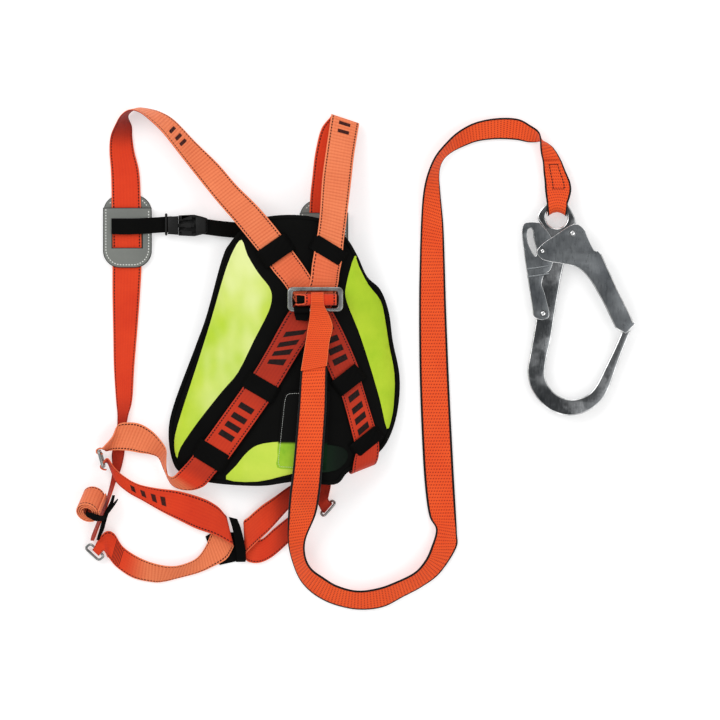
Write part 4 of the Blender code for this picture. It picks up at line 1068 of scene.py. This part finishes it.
def make_fittings():
    """Wire rings: place, half sides and wire radius of each."""
    frames = {
        "hip_ring_left": ((-191.2, -158.9, 22), (-2.8, 10.6, 0), (0, 0, 18), 2.1),
        "hip_ring_right": ((147, -132, 16), (9, 9, 0), (0, 0, 12.5), 2.1),
        "leg_buckle_left": ((-201.5, -289.5, 8.5), (9.5, -8.8, 0), (4, 3.2, 3.5), 1.8),
        "leg_buckle_right": ((124.6, -228.2, 9), (8.2, 9.3, 0), (2.4, -2.1, 5), 1.8),
    }
    for name, (centre, along, across, radius) in frames.items():
        bm = tube_bmesh(frame_path(centre, along, across, 4.0), radius, closed=True)
        stand_in(name + "_steel", bm, ["steel"], name)


def roll_stations(centre, axis, turns=3.6, inner=6.5, pitch=2.9, width=40.0):
    """Stations of webbing rolled up round an axis."""
    w = Vector(axis).normalized()
    u = w.cross(Vector((0, 0, 1))).normalized()
    v = w.cross(u)
    out = []
    count = int(turns * 22)
    for k in range(count + 1):
        angle = 2 * math.pi * turns * k / count
        radius = inner + pitch * angle / (2 * math.pi)
        middle = Vector(centre) + u * radius * math.cos(angle) + v * radius * math.sin(angle)
        out.append((*(middle - w * width / 2), *(middle + w * width / 2)))
    return out


def make_surplus():
    """Two rolls of spare webbing, and the tie knotted round the left one."""
    for side, centre, axis in (("left", (-205.4, -221.3, 28.9), (-0.22, -0.6, 0.77)),
                               ("right", (60, -120, 18.5), (0.2, 1.0, 0.0))):
        strap("surplus_webbing_" + side, roll_stations(centre, axis), "surplus_roll_" + side,
              tone=lambda p, o: 0.8, steps=1, wander=0)
    band = [
        (-211.1, -232.2, 38.5, -209.3, -227.2, 42), (-211, -237.4, 43.4, -208.6, -231.8, 47.6),
        (-204.8, -241.6, 43, -202, -233.6, 50), (-197.6, -244.8, 42.6, -194.6, -236.6, 49.8),
        (-192.8, -245, 38.4, -190.2, -237.4, 44.4), (-187.6, -244.2, 34.2, -187, -237, 38.6),
        (-181.4, -235.8, 32, -185, -232.4, 33), (-173.6, -225.4, 28.6, -176.6, -222.8, 29),
        (-167.4, -215.4, 25.6, -169, -214.4, 25.8),
    ]
    tail = [
        (-176.4, -210, 18, -172.6, -210, 18), (-179.5, -220, 25, -174.5, -220, 25),
        (-186, -232, 27.6, -180, -232, 27.6), (-190.6, -246, 29.4, -184.2, -246, 29.4),
        (-194, -258, 26.6, -187.6, -258, 26.6), (-198.4, -272, 20, -194.6, -272, 20),
    ]
    strap("roll_tie_webbing", band, "roll_tie_left", "webbing_black", thickness=1.4)
    strap("roll_tie_tail_webbing", tail, "roll_tie_tail_left", "webbing_black", thickness=1.4)


# ---------------------------------------------------------------- chest strap

def make_slider(side, centre):
    """Chest slider: a back plate, and a windowed cover on two rails that the shoulder strap runs
    between. Two rows of stitches go round its edge."""
    cx, cy = centre
    outline = rounded_box(centre, (SLIDER_W, SLIDER_L), 24, arc=12)
    body = "chest_assembly"
    slab(f"chest_slider_{side}_pad", [outline], (0.1, 2.5), "slider_grey", f"chest_slider_{side}_back",
         bevel=1.1, edge="slider_rim", body=body)
    low, top = cy - SLIDER_L / 2, cy + 33
    half = SLIDER_W / 2
    cover = [(cx + half, top), (cx - half, top)] + [p for p in outline if p[1] < cy]
    window = rectangle(cx - SLIDER_WINDOW / 2, cx + SLIDER_WINDOW / 2, low + 28, low + 68)
    rails = []
    for sign in (-1, 1):
        edges = sorted((cx + sign * SLIDER_RAIL_X, cx + sign * (half - 1)))
        rails.append(slab_bmesh([rectangle(*edges, low + 26, top - 2)], (2.7, 6.2), 0.3))
    plate = slab_bmesh([cover, window], (5.9, 8.4), 1.1)
    rims_take_second_material(plate)
    whole = join_bmeshes([plate] + rails)
    stand_in(f"chest_slider_{side}_cover", whole, ["slider_grey", "slider_rim"],
             f"chest_slider_{side}_front", body=body)
    inset = [(cx + (x - cx) * 0.88, cy + (y - cy) * 0.92) for x, y in outline]
    first = next(k for k, p in enumerate(inset) if p[1] < cy + 32)
    inset = inset[first:] + inset[:first]
    upper = [p for p in inset if p[1] > cy + 34]
    lower = [(cx - half * 0.88, cy + 31)] + [p for p in inset if p[1] < cy] + [(cx + half * 0.88, cy + 31)]
    for row, path, height in (("seam", lower, 8.45), ("top_seam", upper, 2.55)):
        stitches(f"chest_slider_{side}_{row}", body, path, lambda x, y: height,
                 pitch=4.0, width=1.7)


def make_chest_strap():
    """Both halves of the chest strap and the loop that slides on the left one."""
    z = CHEST_Z
    left = [(-178, 155, z, -178, 176, z), (-150, 154.5, z, -150, 176.5, z), (-93, 158, z, -93, 180, z)]
    right = [
        (-52, 155, z, -52, 177, z), (-10, 150, z, -10, 172, z), (60, 146, z, 60, 168, z),
        (126, 144, z, 126, 166, z),
    ]
    for side, stations in (("left", left), ("right", right)):
        strap("chest_webbing_" + side, stations, "chest_strap_" + side, "webbing_black",
              body="chest_assembly", thickness=1.6)
    loop = [(-101.5, y, h) for y, h in rounded_box((168.5, z), (28, 8), 3, arc=6)]
    stand_in("chest_keeper_loop", tube_bmesh(loop, 1.7, closed=True), ["buckle_black"],
             "chest_strap_keeper", body="strap_keeper")


def make_chest_buckle():
    """Side-release buckle: a hollow socket, the plug's base and guide, and its two spring arms."""
    z = CHEST_Z
    mid = CHEST_BUCKLE_Y
    shell = mirrored([(-84, 14), (-62, 15), (-50, 12), (-44, 10)], mid)
    port_low = rectangle(-79, -66, mid - 13.4, mid - 9)
    port_high = rectangle(-79, -66, mid + 9, mid + 13.4)
    window = rounded_box((-71, mid), (9, 5), 2, arc=4)
    throat = mirrored([(-60, 13), (-46, 10)], mid)
    walls = [
        slab_bmesh([shell, port_low, port_high, window], (z + 3.6, z + 6.2), 0.7),
        slab_bmesh([shell], (z - 6, z - 3.6), 0.7),
        slab_bmesh([throat], (z - 4, z - 1.2), 0.4),
        slab_bmesh([throat], (z + 1.2, z + 4), 0.4),
    ]
    for sign in (-1, 1):
        for x0, x1 in ((-83.5, -79.5), (-65.5, -59)):
            y0, y1 = sorted((mid + sign * 11.2, mid + sign * 13.6))
            walls.append(slab_bmesh([rectangle(x0, x1, y0, y1)], (z - 4, z + 4), 0.3))
    stand_in("chest_buckle_shell", join_bmeshes(walls), ["buckle_black"], "chest_buckle_socket",
             body="chest_assembly")
    base = mirrored([(-99, 12), (-86, 13), (-84.6, 13)], mid)
    plug = [
        slab_bmesh([base], (z + 1.3, z + 4.6), 0.6),
        slab_bmesh([base], (z - 4.5, z - 1.3), 0.6),
        slab_bmesh([rectangle(-89, -85, mid - 12.6, mid + 12.6)], (z - 3, z + 3), 0.4),
        slab_bmesh([mirrored([(-86, 2.5), (-62, 2)], mid)], (z - 2, z + 2), 0.6),
    ]
    stand_in("chest_buckle_tongue", join_bmeshes(plug), ["buckle_black"], "chest_buckle_plug",
             body="chest_assembly")
    for side, sign in (("upper", 1), ("lower", -1)):
        outline = [(-84.2, mid + sign * 6), (-84.2, mid + sign * 9), (-78, mid + sign * 10.5),
                   (-75, mid + sign * 13.5), (-69, mid + sign * 13.5), (-67, mid + sign * 8)]
        slab("chest_buckle_prong_" + side, [outline], (z - 3, z + 3), "buckle_black",
             "chest_buckle_arm_" + side, bevel=0.7, body="buckle_arm_" + side)


# ---------------------------------------------------------------- lanyard

# From under the dorsal ring down, round the bottom right, up and over to the hook
LANYARD = [
    (103, 52, 76.4, 118, 52, 76.4), (100, 38, 73.3, 124, 38, 73.3), (95, 12, 68, 126, 12, 68),
    (87.5, -36, 67, 124, -34, 67), (84, -85, 67.5, 123, -85, 67.5), (80, -133, 67.5, 120, -133, 67.5),
    (76, -175, 66, 117, -175, 66), (72, -205, 56, 114, -205, 58), (69, -240, 34, 108, -236, 40),
    (69, -275, 17, 94, -270, 34), (75, -303, 6, 93, -293, 28), (86, -329, 3, 101, -311, 27),
    (104, -348, 2.5, 118, -324, 24), (130, -362, 2.5, 138, -336, 20), (165, -370, 2.5, 166, -343, 18),
    (200, -367, 2.5, 196, -339, 20), (230, -352, 3, 223, -329, 22), (256, -338, 3, 246, -317, 24),
    (281, -319, 3, 260, -301, 24), (304, -284, 3, 268, -284, 20), (305, -264, 3, 275.5, -258, 12),
    (304, -240, 3, 266.5, -240, 5), (302, -205, 3, 261, -205, 3), (299, -150, 3, 257, -150, 3),
    (294, -50, 3, 253, -50, 3), (290, 50, 3, 252, 50, 3), (288, 119, 3, 253, 119, 3),
    (286, 170, 3, 255, 180, 7), (282, 210, 3, 258, 214, 16), (280, 238, 3, 264, 239, 22),
    (284, 256, 3, 274, 262, 24), (295, 268, 3, 289, 281, 22), (312, 277, 3, 307, 298, 18),
    (334, 285, 3, 331, 311, 14), (361, 288, 3, 361, 317, 12), (387, 287, 3, 390, 316, 12),
    (404, 284, 3, 408, 306, 18), (415, 284, 3, 418, 298, 23), (424, 285, 4, 421, 289, 25),
    (433, 281, 5, 421, 280, 24), (441, 274, 7, 422, 268, 19), (451, 257, 9, 424.5, 256, 13),
    (456, 236, 9, 427.5, 236, 9), (458, 221, 8, 430, 221, 8), (456, 212, 6.4, 432, 212, 6.4),
    (454, 206.6, 5.4, 434, 206.6, 5.4),
]


def make_lanyard():
    """Lanyard webbing, its sewn eyes round the dorsal roll and the hook's bar, and a box of stitches."""
    pleats = ((330, 620, 0.5, 8.0), (1000, 1240, 0.5, 8.0))
    run, webbing = strap("lanyard_web", LANYARD, "lanyard_webbing", "webbing_lanyard",
                         thickness=LANYARD_T, pleats=pleats)
    tail = [
        (101, 51, 79.6, 121, 52, 79.6), (99.5, 36, 75.8, 127.5, 39, 75.8),
        (97, 22, 73, 131.5, 24, 73), (94, 3, 71.2, 127, 3, 71.2), (87.5, -36, 70, 123.5, -29, 70),
    ]
    _, dorsal_eye = strap(
        "lanyard_dorsal_eye",
        arc_stations((102, 119), (ROLL_Y, ROLL_Z), ROLL_R + 2.4, (-95, 112), tail),
        "lanyard_eye_dorsal", "webbing_lanyard_eye", "webbing_lanyard", steps=5, thickness=EYE_T,
        wander=0)
    eye = []
    count = 20
    for k in range(count + 1):
        turn = k / count
        angle = math.radians(EYE_TURN[0] + (EYE_TURN[1] - EYE_TURN[0]) * turn)
        y = EYE_BAR_Y + EYE_LOOP_R * math.cos(angle)
        z = HOOK_Z + EYE_LOOP_R * math.sin(angle)
        wide = smooth_step((turn - 0.25) / 0.3)
        spread = 10 + 3.2 * wide + 1.6 * smooth_step((turn - 0.7) / 0.3)
        sag = 6.5 * wide * (1 - 0.35 * smooth_step((turn - 0.75) / 0.25))
        middle = EYE[0] + 0.6 * wide
        eye.append((middle - spread, y - sag, z, middle + spread, y - sag, z, 0, sag, 0))
    top = [
        (428.5, 207, 22, 462.5, 207, 22, 0, 3, 0), (427.5, 217, 17.5, 464.5, 217, 17.5, 0, 1, 0),
        (427, 228, 14.5, 463, 228, 14.5, 0, 0, 0), (425.5, 242, 15, 457, 242, 14, 0, 0, 0),
        (424.5, 256, 18.5, 451, 257, 13.5, 0, 0, 0),
    ]
    top_run, hook_eye = strap("lanyard_hook_eye", eye + top, "lanyard_eye_hook", "webbing_lanyard",
                              body=None, steps=3, thickness=EYE_T, wander=0)
    x, z = EYE[0] * MM, HOOK_Z * MM
    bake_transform(hook_eye)
    end = top_run.length[-1] - 4
    rows = [end - k * STITCH_PITCH for k in range(9)]
    box = [(at, at - 3, side, side + 0.08) for side in (-0.42, 0.42) for at in rows]
    box += [(at, at - 1.3, k * 0.13 - 0.04, k * 0.13 + 0.05) for at in (end, end - 37) for k in range(-3, 4)]
    patches("lanyard_eye_stitches", top_run, box, "thread_dark")


# ---------------------------------------------------------------- scaffold hook

def make_hook():
    """Forged hook, its gate of two cheeks and a web, and the locking lever with two pressed ridges."""
    z = HOOK_Z
    corners = [
        (444, 202), (428, 196), (417, 180), (424, 166), (433, 150), (431, 130), (424, 100), (418, 62),
        (414, 30), (407, -10), (403, -36), (408, -62), (425, -84), (443, -95), (463, -99), (483, -95),
        (503, -82), (516, -63), (531, -22), (542, 6), (548, 20),
    ]
    inner = [
        (535, 19), (524, -6), (511, -33), (500, -55), (489, -68), (473, -75), (458, -75), (443, -68),
        (432, -55), (428, -40), (430, -20), (436, 6), (441, 38), (448, 80), (455, 114), (466, 138),
        (474, 152), (472, 168), (468, 182), (460, 196),
    ]
    outline = [*spline(corners, 4), *spline(inner, 4)]
    pivot_hole, lever_hole = circle(GATE_PIVOT, RIVET_R + 0.4), circle(LEVER_PIVOT, RIVET_R + 0.4)
    holes = [circle(EYE, EYE_R), pivot_hole, lever_hole]
    # The forging's rims take the lighter steel: a painted highlight.
    slab("hook_forging", [outline] + holes, (z - 5, z + 5), "hook_forged", "hook_frame",
         bevel=1.9, edge="steel_highlight", body="hook")
    cheek = [
        (526, 24), (513, 52), (500, 76), (490, 92), (479, 104), (468, 110), (454, 113), (430, 117),
        (420, 122), (416, 131), (424, 141), (440, 152), (468, 169), (482, 161), (486, 152), (496, 132),
        (505, 127), (528, 77), (543, 49), (553, 29),
    ]
    cheek = [*spline(cheek, 3), (540, 16)]
    web = [(502, 126), (506, 127), (529, 77), (543, 49), (539, 47), (525, 75)]
    stud_hole = circle(GATE_STUD, 2.6)
    gate_bm = join_bmeshes([
        slab_bmesh([cheek, pivot_hole, stud_hole], (z + 8.0, z + 10.2), 0.7),
        slab_bmesh([web], (z - 9, z + 9), 0.4),
        slab_bmesh([cheek, pivot_hole], (z - 10.2, z - 8.0), 0.7),
    ])
    # The gate's rims take the lighter steel: a painted highlight.
    rims_take_second_material(gate_bm)
    top = z + 9.8
    # A rod along the gate's edge in the lighter steel: a painted highlight.
    highlight_lip = tube_bmesh([(506, 125, top), (528, 77, top), (543, 47, top), (550, 31, top)], 1.1)
    for face in highlight_lip.faces:
        face.material_index = 1
    gate_bm = join_bmeshes([gate_bm, highlight_lip])
    stand_in("hook_gate_plates", gate_bm, ["hook_alloy", "steel_highlight"], "hook_gate", body="gate")
    side = [
        (396, 165), (402, 171), (418, 171), (424, 166), (436, 151), (440, 128), (436, 106), (427, 98),
        (423, 86), (427, 72), (433, 48), (432, 38), (422, 35), (412, 40), (410, 52), (405, 85),
        (400, 118), (396, 150),
    ]
    side = spline(side, 3, closed=True)
    slot_hole = [
        (403, 158), (407, 163), (411, 160), (412, 148), (416, 134), (415, 124), (411, 127), (404, 142),
    ]
    slot_hole = spline(slot_hole, 3, closed=True)
    back = [(396, 163), (399, 163), (399, 150), (403, 118), (408, 86), (411, 66), (408, 66), (405, 85),
            (400, 118), (396, 150)]
    lever_bm = join_bmeshes([
        slab_bmesh([side, lever_hole, slot_hole], (z + 5.5, z + 7.5), 0.6),
        slab_bmesh([back], (z - 6.5, z + 6.5), 0.4),
        slab_bmesh([side, lever_hole, slot_hole], (z - 7.5, z - 5.5), 0.6),
    ])
    # The lever's rims take the lighter steel: a painted highlight.
    rims_take_second_material(lever_bm)
    ridges = [tube_bmesh([(403, y, z + 7.4), (418, y + 2, z + 7.8), (433, y + 4.5, z + 7.4)], 1.5)
              for y in (95, 106)]
    lever_bm = join_bmeshes([lever_bm] + ridges)
    stand_in("hook_lever_plates", lever_bm, ["hook_alloy", "steel_highlight"], "hook_lock_lever",
             body="lock_lever")


def turned(name, centre, profile, node, body):
    """Round piece from (radius, height) points; its dome, the last three steps, takes the lighter steel, a
    painted highlight.
    """
    bm = bmesh.new()
    count, dome = 28, 3
    rings = []
    for radius, height in profile:
        rings.append([bm.verts.new((x * MM, y * MM, height * MM)) for x, y in circle(centre, radius, count)])
    for level, (low, high) in enumerate(zip(rings, rings[1:])):
        for face in bridge(bm, low, high):
            face.material_index = int(level > len(rings) - dome - 2)
    bm.faces.new(list(reversed(rings[0])))
    bm.faces.new(rings[-1]).material_index = 1
    bmesh.ops.recalc_face_normals(bm, faces=bm.faces)
    stand_in(name, bm, ["hook_forged", "steel_highlight"], node, body)


def make_rivets():
    """Rivets with a low flange, a groove and a dome in the lighter steel, a painted highlight; the spring
    keeps its CAD shape.
    """
    for name, centre, reach in (("gate", GATE_PIVOT, 12.2), ("lever", LEVER_PIVOT, 9.5)):
        low, high = HOOK_Z - reach, HOOK_Z + reach
        profile = [
            (3.0, low), (4.9, low + 0.5), (4.9, low + 1.6), (3.9, low + 1.7), (3.9, high - 1.9),
            (4.9, high - 1.8), (4.9, high - 1.2), (3.1, high - 1.1), (2.9, high - 0.5), (2.0, high - 0.1),
            (0.8, high),
        ]
        turned(name + "_rivet_turned", centre, profile, name + "_rivet", "hook")
    low, high = HOOK_Z + 8.1, HOOK_Z + 12.2
    profile = [
        (2.3, low), (2.3, high - 1.7), (3.9, high - 1.6), (3.9, high - 1.1), (2.6, high - 1.0),
        (2.4, high - 0.5), (1.6, high - 0.1), (0.6, high),
    ]
    turned("gate_stud_turned", GATE_STUD, profile, "gate_stud", "gate")
    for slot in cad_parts["gate_spring"].material_slots:
        slot.material = MATERIALS["steel"]


# ---------------------------------------------------------------- stage

def make_stage():
    """Camera straight above, a pale floor that glows a little, a white world and four soft lights."""
    scene = bpy.context.scene
    camera = bpy.data.cameras.new("camera")
    camera.sensor_width = SENSOR_WIDTH
    camera.lens = SENSOR_WIDTH * CAMERA_HEIGHT / (PICTURE_PIXELS * SCALE * MM)
    camera.clip_end = 50
    scene.camera = place_object("camera", camera)
    scene.camera.location = (PICTURE_CENTRE[0] * MM, PICTURE_CENTRE[1] * MM, CAMERA_HEIGHT)

    bpy.ops.mesh.primitive_plane_add(size=8, location=(0.17, 0, -0.0005))
    floor = bpy.context.object
    floor.name = "floor"
    paint = Shader("floor_paint", (0.72, 0.72, 0.72), 0.9)
    paint.put("Emission Color", (1, 1, 1, 1))
    paint.put("Emission Strength", 0.4)
    floor.data.materials.append(paint.material)

    world = bpy.data.worlds.new("world")
    world.use_nodes = True
    world.node_tree.nodes["Background"].inputs["Color"].default_value = (1, 1, 1, 1)
    world.node_tree.nodes["Background"].inputs["Strength"].default_value = 0.5
    scene.world = world
    lights = (
        ("key", (-1.3, 1.1, 2.0), 1.5, 24.0), ("fill", (1.7, -0.5, 2.0), 1.8, 15.0),
        ("rim", (0.5, 2.2, 1.5), 1.2, 12.0), ("front", (-0.3, -2.1, 1.9), 1.5, 12.0),
    )
    for name, place, size, power in lights:
        data = bpy.data.lights.new(name, "AREA")
        data.size = size
        data.energy = power
        lamp = place_object(name, data)
        lamp.location = place
        aim = Vector((0.15, 0, 0)) - Vector(place)
        lamp.rotation_euler = aim.to_track_quat("-Z", "Y").to_euler()
    scene.view_settings.view_transform = "Standard"


make_stage()
make_lanyard()
make_hook()
make_pad()
make_panels()
make_back_straps()
make_keepers()
make_dorsal()
make_webbing()
make_leg_link()
make_fittings()
make_surplus()
make_slider("left", SLIDER_LEFT)
make_slider("right", SLIDER_RIGHT)
make_chest_strap()
make_chest_buckle()
make_rivets()
